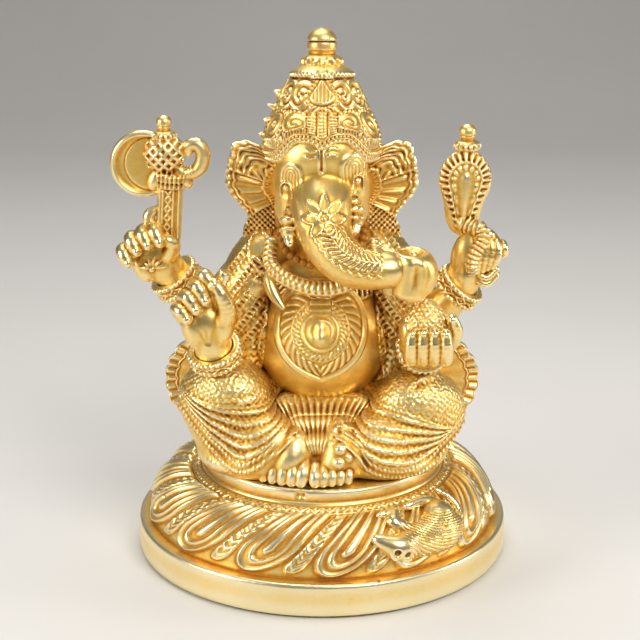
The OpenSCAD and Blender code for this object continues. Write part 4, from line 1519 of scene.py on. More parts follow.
    def build_face(self) -> None:
        """Casts the head with the trunk and the ringed sheaths of the tusks."""
        clay = self.form()
        self.face(clay)
        self.trunk_work(clay)
        for side in Side:
            s = side.value
            lift = self.tusk_lift(side)
            path = self.at((s * 7.0, -13.5, -4.6 + lift, 2.9), (s * 9.2, -16.0, -7.4 + lift, 2.7),
                           (s * 9.6, -17.6, -10.0 + lift, 2.3))
            clay.rope(path, 0.6)
            middle = smooth_path(path)[:, :3]
            ridge_round(clay, middle, 0.5, 2.3, 3.4)
        shell = clay.fired(0.11, 0.5)
        hand_in("elephant_head", shell, self.finishes.skin, Slot.SKIN, "head")

    def build_tusks(self) -> None:
        """Casts the two short tusks. The right one is broken off."""
        for side, tip in ((Side.RIGHT, 1.15), (Side.LEFT, 0.9)):
            s = side.value
            lift = self.tusk_lift(side)
            clay = Clay((min(s * 5, s * 14), -24.5, self.figure.skull[2] - 18),
                        (max(s * 5, s * 14), -12, self.figure.skull[2]), 0.2)
            clay.rope(self.at((s * 9.5, -17.0, -8.6 + lift, 1.7), (s * 9.6, -18.6, -11.4 + lift, 1.6),
                              (s * 9.3, -20.18, -12.5 + lift, tip)), 0.3)
            hand_in(f"{side.name.lower()}_ivory", clay.fired(), self.finishes.tusk, Slot.TUSK,
                    f"{side.name.lower()}_tusk")

    def build_sweet(self) -> None:
        """Casts the trunk's curled tip, which holds a round sweet."""
        c = self.figure.middle("trunk_sweet")
        clay = Clay(c - vec(10, 11, 11), c + vec(10, 10, 11), 0.26)
        clay.add(egg(c + vec(1.6, 1.0, -0.2), (5.5, 6.3, 7.2)))
        clay.add(coin(c + vec(-0.6, -0.6, -0.6), 5.1, 6.9, 2.6, (4, 8, 0)), 0.8)
        clay.add(ring(c + vec(-0.7, -0.4, 5.9), 4.0, 0.6, (10, 6, 0)), 0.9)
        clay.cut(egg(c + vec(-0.7, -0.4, 7.6), (3.5, 3.5, 2.0), (6, 8, 0)), 1.0)
        clay.add(ball(c + vec(-0.2, -1.6, 5.9), 1.2), 0.6)
        clay.cut(egg(c + vec(0.4, -6.4, 1.2), (0.6, 1.1, 3.4), (8, 6, 0)), 1.4)
        clay.stroke(smooth_path([c + vec(3.0, -4.9, 6.0), c + vec(4.0, -5.0, 1.5), c + vec(3.2, -5.0, -4.6)]),
                    0.45, -0.4)
        hand_in("trunk_tip", clay.fired(0.12, 0.6), self.finishes.skin, Slot.SKIN, "trunk_sweet")

    def build_ear(self, side: Side) -> None:
        """Casts one ear: a ribbed fan with a ruffled, beaded edge and a cross-hatched lobe."""
        node = f"{side.name.lower()}_ear"
        base = self.figure.skull[2]
        rows, columns = 110, 300
        share = np.linspace(0, 1, rows)[:, None]
        turn = np.linspace(math.radians(86), math.radians(-68), columns)[None, :]
        degrees = np.degrees(turn)
        edge = smooth_path([(-68, 13.5), (-60, 16.5), (-50, 20.6), (-42, 20.4), (-33, 16.4), (-26, 15.4),
                            (-12, 16.8), (2, 19.6),
                            (14, 20.4), (28, 21.4), (38, 22.4), (46, 20.4), (56, 16.4), (72, 14.4),
                            (86, 13.0)])
        outline = np.interp(degrees, edge[:, 0], edge[:, 1]) + 0.5 * np.abs(np.sin(turn * 17.0))
        reach = 2.0 + (outline - 2.0) * share
        x = 8.6 + reach * np.cos(turn)
        z = base - 1.6 + reach * np.sin(turn)
        upper = step(degrees, 20.0, 3.0)
        lobe = 1 - step(degrees, -30.0, 2.0)
        ribs = (0.85 * (0.5 + 0.5 * np.cos(turn * 26.0)) ** 1.6 * between(share, 0.42, 0.80, 0.03)
                * (1 - upper) * (1 - lobe))
        curls = (0.5 * np.cos(turn * 21.0 + 6.0 * np.sin(share * 9.0))
                 * np.cos(share * 21.0 + 2.0 * np.sin(turn * 8.0)))
        curls = curls * upper * between(share, 0.40, 0.84, 0.03)
        hatch = 0.24 * (wave(x + z, 1.7) + wave(x - z, 1.7)) * lobe * step(share, 0.35, 0.05)
        pearls = 0.75 * bump(share - 0.955, 0.035) * (0.6 + 0.4 * np.cos(turn * 58.0))
        lines = (0.5 * bump(share - 0.87, 0.022) + 0.45 * bump(share - 0.38, 0.03)
                 + 0.5 * bump(share - 0.32, 0.03) * (0.5 + 0.5 * np.cos(turn * 46.0)))
        seams = 0.6 * (bump(degrees - 20.0, 1.6) + bump(degrees + 30.0, 1.6)) * step(share, 0.3, 0.05)
        folds = 1.5 * np.sin(turn * 9.0 + 1.0) * share**2.5 * (0.35 + 0.65 * upper)
        cup = 1.8 - 4.6 * share * (1 - share) - 0.6 * share
        lift = ribs + curls + hatch + pearls + lines + seams
        shell = fan_plate(side, side.value * x, cup + folds, z, 0.95, lift, 0.5).mark_hollows(0.09, 0.5)
        hand_in(f"{side.name.lower()}_ruffled_ear", shell, self.finishes.ornament, Slot.SKIN, node)

    def build(self) -> None:
        """Builds the whole head."""
        self.build_face()
        self.build_tusks()
        self.build_sweet()
        for side in Side:
            self.build_ear(side)


# ---- Crown ----


@dataclass
class Crown(Work):
    """The tall chased crown, its lip and its knob, leaning a little back."""

    lean: float = math.radians(7.0)
    radius: float = 17.2
    foot: float = 11.5
    turns: int = 800
    profile: Array = field(init=False)
    wall_at: int = field(init=False)
    wall_end: int = field(init=False)

    def stand(self, shell: Shell) -> Shell:
        """Moves a shell from the crown's own axis to its place on the head."""
        x, y, z = shell.points.T
        c, s = math.cos(self.lean), math.sin(self.lean)
        base = self.figure.skull + self.foot * vec(0, s, c)
        shell.points = np.stack([x, y * c + z * s, z * c - y * s], axis=-1) + base
        return shell

    def outline(self) -> Array:
        """Radius and height of the crown from under the brim to the top."""
        r = self.radius
        wall = smooth_path([(0.95 * r, -3.3), (0.985 * r, -1.0), (1.0 * r, 2.6), (0.955 * r, 6.4),
                            (0.84 * r, 10.6), (0.685 * r, 16.2), (0.54 * r, 20.8)], 16)
        wall = along(wall, 0.23)
        self.wall_at = 5
        self.wall_end = self.wall_at + len(wall)
        foot = [[0, -1.0], [0.5 * r, -1.5], [0.80 * r, -2.6], [0.88 * r, -3.4], [0.925 * r, -3.6]]
        lip = [[9.3, 21.1], [9.6, 21.5], [9.6, 22.1], [9.1, 22.8], [8.1, 23.5], [7.0, 24.1], [5.9, 24.6],
               [5.0, 25.0], [0, 25.1]]
        lip = along(np.array(lip, dtype=float), 0.3)
        return np.array(foot + wall.tolist() + lip.tolist(), dtype=float)

    def motif(self, a: Array, b: Array) -> Array:
        """One quarter of the crown's chasing, from its middle: a along the wall, b up it."""
        s = np.abs(a)
        total = np.zeros(a.shape)
        low = between(b, 1.0, 11.2, 0.4)
        for rib in (0.0, 3.1):
            gap = s - rib * (1.12 - 0.02 * b)
            total += low * (0.55 * bump(gap, 0.95) * (0.62 + 0.38 * wave(b, 1.45)) + 0.25 * bump(gap, 0.35))
        total -= 0.5 * low * (bump(s - 1.6, 0.28) + bump(s - 4.55, 0.28))
        db = b - 15.9
        spade = np.where(db < 0, np.hypot(a / 3.5, db / 2.3),
                         s / 3.5 + db / 4.9 + 0.25 * (s / 3.5) * np.clip(db / 4.9, 0, 1))
        total += 0.55 * (1 - step(spade, 0.95, 0.08)) + 0.16 * wave(a, 1.05) * (spade < 0.85)
        total += 0.55 * bump(spade - 1.0, 0.10)
        round_turn = np.arctan2(a, db)
        total += 0.60 * bump(spade - 1.45, 0.14) * (0.55 + 0.45 * np.cos(round_turn * 20)) * (b > 11.6)
        dx, dz = s - 8.3, b - 7.2
        reach, turn = np.hypot(dx, dz), np.arctan2(dz, dx)
        coil = 0.5 + 0.5 * np.cos(turn - TURN * reach / 2.3)
        disc = 1 - step(reach, 4.3, 0.2)
        total += disc * (0.25 + 0.55 * coil) + 0.5 * bump(reach, 0.8)
        total += 0.65 * bump(reach - 4.55, 0.38) * (0.6 + 0.4 * np.cos(turn * 20))
        side = step(s, 11.6, 0.3) * between(b, 0.8, 11.0, 0.4)
        total += side * 0.45 * wave(0.85 * s - 0.35 * b, 1.5) * (reach > 4.9)
        total += 0.28 * between(b, 0.8, 3.4, 0.3) * (s > 5.4) * wave(a, 0.95)
        upper = step(b, 11.6, 0.3) * (spade > 1.62) * (reach > 4.9)
        leaf_a, leaf_b = s - 7.2 + 0.16 * (b - 12.5), b - 16.0
        scroll = np.hypot(leaf_a, leaf_b * 0.85)
        total += upper * (0.45 * np.cos(2.1 * np.arctan2(leaf_b, leaf_a) - TURN * scroll / 2.1) + 0.25)
        return total

    def relief(self, angle: Array, place: Array) -> Array:
        """Height of the ornament over the crown."""
        radius, level = self.profile[place, 0], self.profile[place, 1]
        front = (angle + math.pi / 2 + math.pi) % TURN - math.pi
        quarter = (front + math.pi / 4) % (math.pi / 2) - math.pi / 4
        a = quarter * radius
        on_wall = (place >= self.wall_at) & (place < self.wall_end)
        height = np.where(on_wall, 0.82 * self.motif(a, level) * step(level, 0.6, 0.3)
                          * (1 - step(level, 20.3, 0.3)), 0.0)
        run = front * self.radius
        height += (pearl_row(run, level + 2.6, 1.35, 0.5) * 0.75
                   + pearl_row(run + 0.5, level + 0.9, 1.2, 0.45) * 0.7)
        height += 0.3 * bump(level + 1.75, 0.22) + 0.3 * bump(level - 0.1, 0.22)
        run = front * 9.5
        cover = 1 - step(np.abs(run) / 3.8 + np.clip(level - 20.6, 0, 9) / 4.0, 1.0, 0.12)
        lip = cover * (0.75 + 0.2 * wave(run, 1.05)) + 0.22 * bump(level - 21.8, 0.6) * np.cos(front * 44)
        height += np.where(place >= self.wall_end, lip, 0.0)
        for k in range(4):
            off = np.hypot((front + math.radians(84)) * radius, (level - 4.2 - 3.9 * k) * 1.1)
            height += 2.1 * bump(off, 1.0)
        return height

    def build_body(self) -> None:
        """Turns the crown, chases it and arches its brim over the brow."""
        self.profile = self.outline()
        shell = lathe(self.profile, self.turns, self.relief)
        x, y, z = shell.points.T
        front = np.arctan2(x, -y)
        arch = 6.2 * (1 - step(np.abs(np.degrees(front)), 40.0, 16.0)) - 2.0 * bump(np.degrees(front), 8.0)
        outer = step(np.hypot(x, y), 0.55 * self.radius, 2.0)
        shell.points[:, 2] = z + arch * outer * (1 - step(z, 4.0, 8.0))
        self.stand(shell).mark_hollows(0.10, 0.5)
        hand_in("chased_crown", shell, self.finishes.ornament, Slot.ORNAMENT, "crown")

    def build_knob(self) -> None:
        """Turns the petal collar and the two-part knob."""
        rows = [[0, 23.0], [5.0, 23.3], [5.9, 24.1], [6.1, 25.4], [5.9, 26.4], [5.1, 27.1], [4.2, 27.5],
                [3.9, 27.8], [3.95, 28.6],
                [4.3, 29.0], [4.45, 30.0], [4.4, 30.9], [4.1, 31.3], [4.35, 31.6], [4.3, 32.4], [3.8, 33.4],
                [2.9, 34.3], [1.7, 34.9], [0.6, 35.3]]
        curve = along(smooth_path(rows[1:], 6), 0.16)
        profile = np.vstack([[rows[0]], curve, [[0, 35.35]]])

        def relief(angle: Array, place: Array) -> Array:
            """Petals round the collar and fine cuts round the lower ring."""
            level = profile[place, 1]
            petals = 0.42 * bump(level - 25.5, 0.9) * np.cos(angle * 13)
            return petals - 0.2 * bump(level - 31.3, 0.2)

        shell = self.stand(lathe(profile, 260, relief)).mark_hollows(0.10, 0.5)
        hand_in("crown_finial", shell, self.finishes.ornament, Slot.ORNAMENT, "crown_knob")

    def build(self) -> None:
        """Builds the crown and its knob."""
        self.build_body()
        self.build_knob()


# ---- Arms ----


def band_turns(axis: Point) -> Point:
    """Turns in degrees that point a form's local Z along an axis."""
    d = unit(np.array(axis, dtype=float))
    return (0.0, math.degrees(math.acos(d[2])), math.degrees(math.atan2(d[1], d[0])))


def finger(clay: Clay, points: Sequence[Point], blend: float = 0.35) -> None:
    """Models a finger along a few points with radii, with a crease at every joint."""
    clay.rope(points, blend)
    path = smooth_path(points, 6)
    line, thick = path[:, :3], float(np.max(path[:, 3]))

    def creases(x: Array, y: Array, z: Array) -> Array:
        """Fine rings round the finger."""
        run, _, _ = ribbon(x, y, z, line, (0, -1, 0))
        gap, share = to_path(x, y, z, line)
        return 0.03 * wave(run, 1.5) * (gap < thick + 0.5) * between(share, 0.35, 0.9, 0.05)

    clay.emboss(creases, line.min(axis=0) - thick - 0.6, line.max(axis=0) + thick + 0.6, 0.9)
    clay.add(egg(path[-1, :3] + vec(0, -0.35 * path[-1, 3], 0),
                 (path[-1, 3] * 0.72, path[-1, 3] * 0.9, path[-1, 3] * 0.85)), 0.15)


@dataclass
class Arms(Work):
    """Four arms from the shoulders to the fingertips, with bangles and what the front hands hold."""

    grain: float = 0.28

    def sleeve(self, clay: Clay, side: Side, rear: bool) -> None:
        """Models the upper arm inside the shawl, down to the elbow."""
        s = side.value
        top = self.figure.shoulder
        if rear:
            clay.rope([(s * 21, 5, top, 6.2), (s * 28, 3.0, top - 8, 6.0),
                       (s * 33, -0.5, top - 18, 6.2)], 1.0)
        else:
            clay.rope([(s * 21, -4, top - 4, 6.4), (s * 25.5, -3, top - 12, 6.2),
                       (s * 27.5, -3.0, top - 20, 6.0)], 1.0)

    def bangle(self, node: str, centre: Point, axis: Point, radius: float, half: float) -> None:
        """Casts a bangle: two beaded rims and a band of lozenges.

        Args:
            node: the CAD node that it stands for.
            centre: its middle.
            axis: the direction of the wrist.
            radius: its inside radius.
            half: half its width.
        """
        c = np.array(centre, dtype=float)
        m = turned(band_turns(axis))
        reach = radius + 3.2
        clay = Clay(c - reach, c + reach, 0.22)
        clay.add(coin(c, radius + 1.0, half, 0.7, band_turns(axis)))
        for end in (-1, 1):
            clay.add(ring(c + m[:, 2] * end * half * 0.72, radius + 0.9, 0.75, band_turns(axis)), 0.3)

        def relief(x: Array, y: Array, z: Array) -> Array:
            """Pearls on the rims, lozenges and rosettes between."""
            lx, ly, lz = local(m, c, x, y, z)
            turn = np.arctan2(ly, lx)
            count = round(TURN * radius / 1.35)
            pearls = 0.3 * bump(np.abs(lz) - half * 0.75, 0.5) * np.cos(turn * count)
            lozenge = np.abs(((turn * 9 / TURN) % 1.0) - 0.5) * 2.6 + np.abs(lz) / (half * 0.5)
            outer = step(np.hypot(lx, ly), radius + 0.3, 0.3)
            return outer * (pearls + 0.55 * bump(lozenge - 0.9, 0.28) + 0.5 * bump(lozenge, 0.4))

        clay.emboss(relief)
        clay.cut(coin(c, radius - 0.6, half + 3.0, 0.1, band_turns(axis)))
        name = node.replace("bangle", "beaded_bangle")
        hand_in(name, clay.fired(), self.finishes.ornament, Slot.ORNAMENT, node)

    def rear_right(self) -> None:
        """Casts the raised right arm. Its hand holds the axe, with a flower cut in the palm."""
        top = self.figure.shoulder
        wrist = self.figure.middle("rear_right_bangle")
        clay = Clay((wrist[0] - 21, -19, top - 27), (-13, 13, wrist[2] + 22), self.grain)
        self.sleeve(clay, Side.RIGHT, True)
        clay.rope([(-33, -0.5, top - 18, 6.2), *about(wrist, (4.6, 1.2, -7.0, 5.5), (0, -1.5, 0, 4.9),
                                                      (-3.2, -3.0, 4.4, 4.9))], 1.0)
        palm = wrist + vec(-6.0, -3.9, 7.6)
        clay.add(egg(palm, (6.6, 3.9, 7.0), (0, -32, 0)), 1.5)
        clay.add(egg(palm + vec(3.6, -1.2, -1.0), (3.2, 3.0, 4.6), (0, 8, 0)), 1.0)
        clay.add(egg(palm + vec(-4.0, -1.2, -3.0), (3.0, 2.8, 4.4), (0, -30, 0)), 1.0)
        reach = ((-8.6, 2.2), (-6.0, 5.6), (-2.6, 7.4), (1.0, 8.2))
        for k, (dx, dz) in enumerate(reach):
            root = palm + vec(dx * 0.62, -0.4, dz * 0.62 + 0.6)
            tip = palm + vec(dx * 0.98 - 0.9, -2.2, dz * 1.06 + 0.9)
            fold = tip + vec(-0.1, -2.9, -0.6)
            end = tip + vec(1.3, -4.0, -3.0)
            size = 2.2 + 0.08 * k
            finger(clay, [(*root, size), (*tip, size), (*fold, size * 0.95), (*end, size * 0.8)])
        finger(clay, about(palm, (3.4, -2.2, 0.5, 2.3), (5.2, -4.0, 5.0, 2.1), (2.6, -5.2, 7.2, 1.7)))
        heart = palm + vec(-1.4, -3.8, -2.4)
        for degrees in (-78, -48, -20, 12, 44, 74):
            way = vec(math.sin(math.radians(degrees)), -0.18, math.cos(math.radians(degrees)))
            clay.stroke(np.array([heart + way * 0.8, heart + way * 3.0, heart + way * 4.6]), 0.42, 0.75, True)
        clay.add(ball(heart + vec(0, -0.3, 0), 0.9), 0.2)
        shell = clay.fired(0.11, 0.5)
        hand_in("rear_right_arm_and_hand", shell, self.finishes.skin, Slot.SKIN, "rear_right_arm")
        self.bangle("rear_right_bangle", wrist + vec(-0.6, -1.5, 0.4), (-0.55, -0.25, 0.80), 6.2, 2.6)

    def rear_left(self) -> None:
        """Casts the raised left arm. Its fist holds the cobra's neck."""
        top = self.figure.shoulder
        wrist = self.figure.middle("rear_left_bangle")
        clay = Clay((13, -18, top - 27), (wrist[0] + 18, 13, wrist[2] + 22), self.grain)
        self.sleeve(clay, Side.LEFT, True)
        clay.rope([(33, -0.5, top - 18, 6.2), *about(wrist, (-4.4, 1.2, -7.0, 5.4), (0.4, -1.5, 0, 4.7),
                                                     (2.6, -3.0, 5.4, 4.7))], 1.0)
        palm = wrist + vec(4.2, -2.6, 11.4)
        clay.add(egg(palm + vec(-1.2, 0, -0.6), (5.2, 4.3, 8.2), (0, 14, 0)), 1.5)
        clay.add(egg(palm + vec(3.4, -0.4, 1.6), (4.6, 3.8, 5.2), (0, 10, 0)), 1.0)
        for k in range(4):
            x = 1.6 + 1.75 * k
            finger(clay, about(palm, (x - 1.0, 0.6, 6.4 - 0.5 * k, 1.5), (x, -3.4, 4.8 - 0.4 * k, 1.45),
                               (x + 0.1, -4.9, 0.2, 1.3),
                               (x - 0.3 - 0.3 * k, -4.2, -4.6 + 0.5 * k, 1.05)), 0.2)
        for k in range(2):
            drop = palm + vec(3.6, -3.6, -6.6 - 1.9 * k)
            clay.rope(about(drop, (-3.6, 0.4, 2.2, 1.0), (0.2, -0.6, 0, 1.0), (3.4, 0.6, 2.4, 1.0)), 0.2)
        clay.add(egg(palm + vec(4.0, -0.6, -6.0), (4.4, 3.0, 3.4), (0, 20, 0)), 1.2)
        clay.add(ring(palm + vec(9.0, -1.6, 1.8), 1.7, 1.15, (0, 80, 10)), 0.5)
        clay.rope(about(palm, (4.4, -1.0, 2.0, 2.4), (8.0, -1.4, 2.0, 1.7)), 0.8)
        clay.add(ball(palm + vec(4.6, -2.2, 6.0), 1.9), 0.5)
        shell = clay.fired(0.11, 0.5)
        hand_in("rear_left_arm_and_hand", shell, self.finishes.skin, Slot.SKIN, "rear_left_arm")
        self.bangle("rear_left_bangle", wrist + vec(0.4, -1.5, 0.6), (0.62, -0.25, 0.74), 6.0, 2.4)

    def front_right(self) -> None:
        """Casts the right hand that is raised in front, with the broken tusk between thumb and finger."""
        top = self.figure.shoulder
        wrist = self.figure.middle("front_right_bangle")
        clay = Clay((wrist[0] - 16, -31, wrist[2] - 9), (wrist[0] + 16, 5, top + 7), self.grain)
        self.sleeve(clay, Side.RIGHT, False)
        clay.rope([(-27.5, -3, top - 20, 6.0), (wrist[0] - 0.6, -9, wrist[2] - 1.4, 5.8),
                   *about(wrist, (-1.6, 1.5, -0.6, 5.4), (-2.6, -1.2, 3.6, 5.3))], 1.0)
        palm = wrist + vec(-3.9, -2.4, 8.6)
        clay.add(egg(palm, (7.3, 4.3, 7.2), (0, -8, 0)), 1.4)
        clay.add(egg(palm + vec(5.2, -1.6, 0.6), (3.0, 3.2, 5.6), (0, 6, 0)), 1.2)
        clay.add(egg(palm + vec(-3.8, -1.4, -0.6), (3.0, 3.0, 5.4), (0, -14, 0)), 1.2)
        for degrees, lean in ((-26, 0.0), (-6, 0.5), (16, 1.0)):
            way = vec(math.sin(math.radians(degrees)), -0.05, math.cos(math.radians(degrees)))
            clay.stroke(np.array([palm + vec(lean, -4.3, -4.0), palm + vec(lean, -4.6, -4.0) + way * 6.5]),
                        0.4, -0.4)
        chain = (
            ((-6.4, 0.2, 2.6), (-8.2, -1.2, 5.6), (-7.2, -3.8, 6.0), (-5.4, -4.4, 3.9)),
            ((-3.8, -0.2, 4.6), (-6.2, -1.0, 9.2), (-4.8, -4.0, 10.0), (-2.6, -4.8, 6.8)),
            ((-1.6, -0.2, 5.6), (-3.2, -0.6, 12.2), (-2.0, -3.7, 13.0), (0.0, -4.6, 9.6)),
            ((0.8, 0.2, 6.2), (-1.2, 0.2, 14.6), (0.0, -2.0, 16.0), (2.0, -3.0, 13.4)),
        )
        for steps in chain:
            finger(clay, about(palm, *((*p, 2.35 - 0.14 * k) for k, p in enumerate(steps))))
        finger(clay, about(palm, (5.0, -1.0, 0.2, 3.0), (6.4, -3.0, 5.6, 2.7), (5.0, -4.0, 10.6, 2.3),
                           (2.8, -3.6, 14.2, 1.7)))
        shell = clay.fired(0.11, 0.5)
        hand_in("front_right_arm_and_hand", shell, self.finishes.skin, Slot.SKIN, "front_right_arm")
        self.bangle("front_right_bangle", wrist + vec(-1.6, 0.6, -0.4), (-0.22, -0.42, 0.88), 6.6, 2.2)
        tusk = Clay(palm + vec(0, -6, 8), palm + vec(11, 7, 20), 0.2)
        tusk.add(limb(palm + vec(3.6, 0.0, 11.0), 1.7, palm + vec(5.8, 0.8, 16.6), 2.0))
        tusk.cut(slab(palm + vec(6.2, 0.8, 18.6), (6, 6, 2.0), 0.0, (0, 28, 0)), 0.3)
        hand_in("held_ivory", tusk.fired(), self.finishes.tusk, Slot.TUSK, "held_tusk")

    def front_left(self) -> None:
        """Casts the left hand that lies in front with a heaped sweet in its palm."""
        top = self.figure.shoulder
        wrist = self.figure.middle("front_left_bangle")
        clay = Clay((wrist[0] - 12, -32, wrist[2] - 9), (wrist[0] + 14, 5, top + 4), self.grain)
        self.sleeve(clay, Side.LEFT, False)
        clay.rope([(27.5, -3, top - 20, 6.0), (wrist[0] + 0.2, -9, wrist[2] - 1.4, 5.8),
                   *about(wrist, (0.6, 1.5, -0.6, 5.4))], 1.0)
        palm = wrist + vec(0.8, -2.4, 1.8)
        clay.add(egg(palm, (8.2, 6.6, 5.4)), 1.4)
        clay.add(egg(palm + vec(-5.6, -1.5, 3.4), (2.6, 5.0, 5.8), (0, -10, 0)), 1.2)
        for k in range(4):
            x = -4.9 + 3.35 * k
            finger(clay, about(palm, (x, 0.6, -2.6, 2.1), (x, -5.2, -2.7, 2.15), (x * 1.03, -7.4, 1.6, 1.95),
                               (x * 0.98, -7.0, 6.0 - 0.25 * abs(k - 1.4), 1.6)), 0.2)
        finger(clay, about(palm, (7.0, -0.4, 0.4, 2.2), (8.4, -2.6, 4.8, 2.0), (7.0, -3.4, 9.0, 1.7)))
        shell = clay.fired(0.11, 0.5)
        hand_in("front_left_arm_and_hand", shell, self.finishes.skin, Slot.SKIN, "front_left_arm")
        self.bangle("front_left_bangle", wrist + vec(0.2, 2.6, -0.6), (0.10, -0.92, 0.35), 6.4, 2.0)
        sweet = Clay(palm + vec(-9, -8, -1), palm + vec(9, 9, 16), 0.26)
        sweet.add(egg(palm + vec(-0.6, -0.6, 6.4), (6.9, 5.8, 6.6)))
        sweet.add(egg(palm + vec(-0.6, 0.0, 10.6), (3.6, 3.2, 3.6)), 2.0)

        def crumb(x: Array, y: Array, z: Array) -> Array:
            """Crumbly grain of the sweet."""
            return 0.2 * stippling(x, y, z, 1.05)

        sweet.emboss(crumb)
        shell = sweet.fired()
        shell.masks["stipple"] = np.full(len(shell.points), 0.8)
        hand_in("heaped_sweet", shell, self.finishes.cloth, Slot.SKIN, "palm_sweet")

    def build(self) -> None:
        """Builds all four arms."""
        self.rear_right()
        self.rear_left()
        self.front_right()
        self.front_left()


# ---- Emblems ----


@dataclass
class Emblems(Work):
    """The axe in the right hand and the cobra in the left."""

    grain: float = 0.24

    def cap(self, name: str, node: str, centre: Array, foot: float, scale: float) -> None:
        """Turns a small beaded collar with a ball on it.

        Args:
            name: the piece's name.
            node: the CAD node that it stands for.
            centre: a point on its axis.
            foot: height of its underside.
            scale: its size.
        """
        rows = [[2.6, 0.0], [3.4, 0.4], [3.75, 1.3], [3.6, 2.2], [2.9, 2.8], [2.0, 3.1], [1.95, 3.7],
                [2.35, 4.4], [2.5, 5.4], [2.35, 6.4], [1.7, 7.3], [0.7, 7.8]]
        curve = along(smooth_path(rows, 6), 0.14)
        profile = np.vstack([[[0, -0.4]], curve, [[0, 7.9]]]) * scale

        def relief(angle: Array, place: Array) -> Array:
            """Beads round the collar and a line round the ball."""
            level = profile[place, 1] / scale
            return 0.42 * bump(level - 1.3, 0.7) * np.cos(angle * 14) - 0.25 * bump(level - 4.5, 0.22)

        shell = lathe(profile, 150, relief)
        shell.points += vec(centre[0], centre[1], foot)
        hand_in(name, shell.mark_hollows(), self.finishes.ornament, Slot.ORNAMENT, node)

    def axe(self) -> None:
        """Casts the shaft with its knot, the crescent blade, the back hook and the cap."""
        low, high = self.figure.low["axe_shaft"], self.figure.high["axe_shaft"]
        foot = vec(-45.6, (low[1] + high[1]) / 2, low[2] + 2.0)
        knot = foot + vec(-0.4, 0, 25.4)
        clay = Clay((low[0] - 5, low[1] - 3, low[2] - 2), (high[0] + 2.5, high[1] + 3, high[2] + 5),
                    self.grain)
        clay.add(slab(foot + vec(0.6, 0, 9.0), (3.7, 2.9, 10.4), 1.7, (0, 4, 0)))
        clay.add(coin(foot + vec(1.5, 0, 18.4), 4.8, 1.3, 0.8, (0, 4, 0)), 0.3)
        clay.add(coin(foot + vec(1.2, 0, 16.2), 4.2, 0.9, 0.6, (0, 4, 0)), 0.3)
        clay.add(egg(knot, (5.9, 5.0, 5.5)), 0.4)
        clay.rope(about(foot, (-3.0, -1, 2.5, 1.4), (-5.2, -1, 4.2, 1.7), (-5.4, -1, 7.2, 1.6),
                        (-3.4, -1, 9.0, 1.0)), 0.5)

        def relief(x: Array, y: Array, z: Array) -> Array:
            """Lattice on the knot, pearls on the capital and a lozenge panel down the shaft."""
            u, w = x - foot[0] - 0.07 * (z - foot[2]), z - foot[2]
            on_shaft = 1 - step(w, 15.0, 0.4)
            panel = np.abs(((w / 2.7) % 1.0) - 0.5) * 2.0 + np.abs(u + 0.4) / 1.1
            height = on_shaft * (0.5 * bump(np.abs(u + 0.4) - 1.55, 0.28) + 0.45 * bump(np.abs(u) - 2.9, 0.3)
                                 + 0.35 * bump(panel - 0.8, 0.25) * (np.abs(u + 0.4) < 1.4))
            capital = between(w, 15.6, 19.6, 0.2)
            height += capital * 0.3 * wave(u, 1.3)
            dx, dz = x - knot[0], z - knot[2]
            on_ball = (np.hypot(dx, dz) < 6.4) & (w > 19.6)
            lattice = wave(dx + dz, 2.9), wave(dx - dz, 2.9)
            cords = np.maximum(bump(1 - lattice[0], 0.9), bump(1 - lattice[1], 0.9))
            return height + on_ball * 0.55 * cords

        clay.emboss(relief)
        hand_in("axe_shaft_and_knot", clay.fired(), self.finishes.ornament, Slot.ORNAMENT, "axe_shaft")
        self.blade(knot)
        self.hook(knot)
        self.cap("axe_cap", "axe_knob", knot, knot[2] + 4.2, 0.92)

    def blade(self, knot: Array) -> None:
        """Casts the crescent blade with its raised rim and the leaf behind it."""
        c = knot + vec(-6.2, 0.4, -3.0)
        clay = Clay(c - vec(12, 4, 12), c + vec(10, 4, 12), self.grain)
        clay.add(coin(c, 9.9, 1.0, 0.5, (90, 0, 0)))
        clay.cut(limb(c + vec(10.5, -6, 1.5), 5.8, c + vec(10.5, 6, 1.5), 5.8), 0.3)
        clay.add(egg(c + vec(3.4, -0.6, -4.8), (2.2, 1.6, 3.6), (0, 24, 0)), 0.3)
        clay.add(egg(c + vec(5.4, -0.8, -7.2), (1.8, 1.5, 3.0), (0, -30, 0)), 0.3)
        clay.add(egg(c + vec(3.2, -0.6, 6.4), (2.4, 1.5, 1.6), (0, -30, 0)), 0.3)

        def relief(x: Array, y: Array, z: Array) -> Array:
            """The rim and the line inside it."""
            reach = np.hypot(x - c[0], z - c[2])
            line = np.hypot(x - c[0] - 2.2, z - c[2])
            return 0.75 * bump(reach - 8.9, 0.75) - 0.25 * bump(line - 7.9, 0.4)

        clay.emboss(relief, reach=1.0)
        hand_in("crescent_blade", clay.fired(), self.finishes.ornament, Slot.ORNAMENT, "axe_blade")

    def hook(self, knot: Array) -> None:
        """Casts the scrolled hook behind the axe's head."""
        clay = Clay(knot + vec(2, -4, -12), knot + vec(16, 4, 7), self.grain)
        points = ((3.6, -4.6, 1.6), (6.6, -6.2, 1.8), (10.0, -4.4, 2.1), (11.2, -0.4, 2.1), (9.8, 2.6, 2.0),
                  (7.2, 2.4, 1.7), (6.8, 0.2, 1.3))
        clay.rope(about(knot, *((x, 0, z, r) for x, z, r in points)), 0.4)
        clay.rope(about(knot, (4.4, 0, -6.4, 1.9), (6.6, 0, -9.0, 1.6)), 0.6)
        clay.add(ball(knot + vec(5.2, -1.2, -1.6), 1.0), 0.3)
        for k in range(3):
            clay.add(ring(knot + vec(6.4 + 0.8 * k, 0, -5.9 + 0.3 * k), 1.8, 0.35, (0, 70, 0)), 0.1)
        hand_in("scrolled_hook", clay.fired(), self.finishes.ornament, Slot.ORNAMENT, "axe_hook")

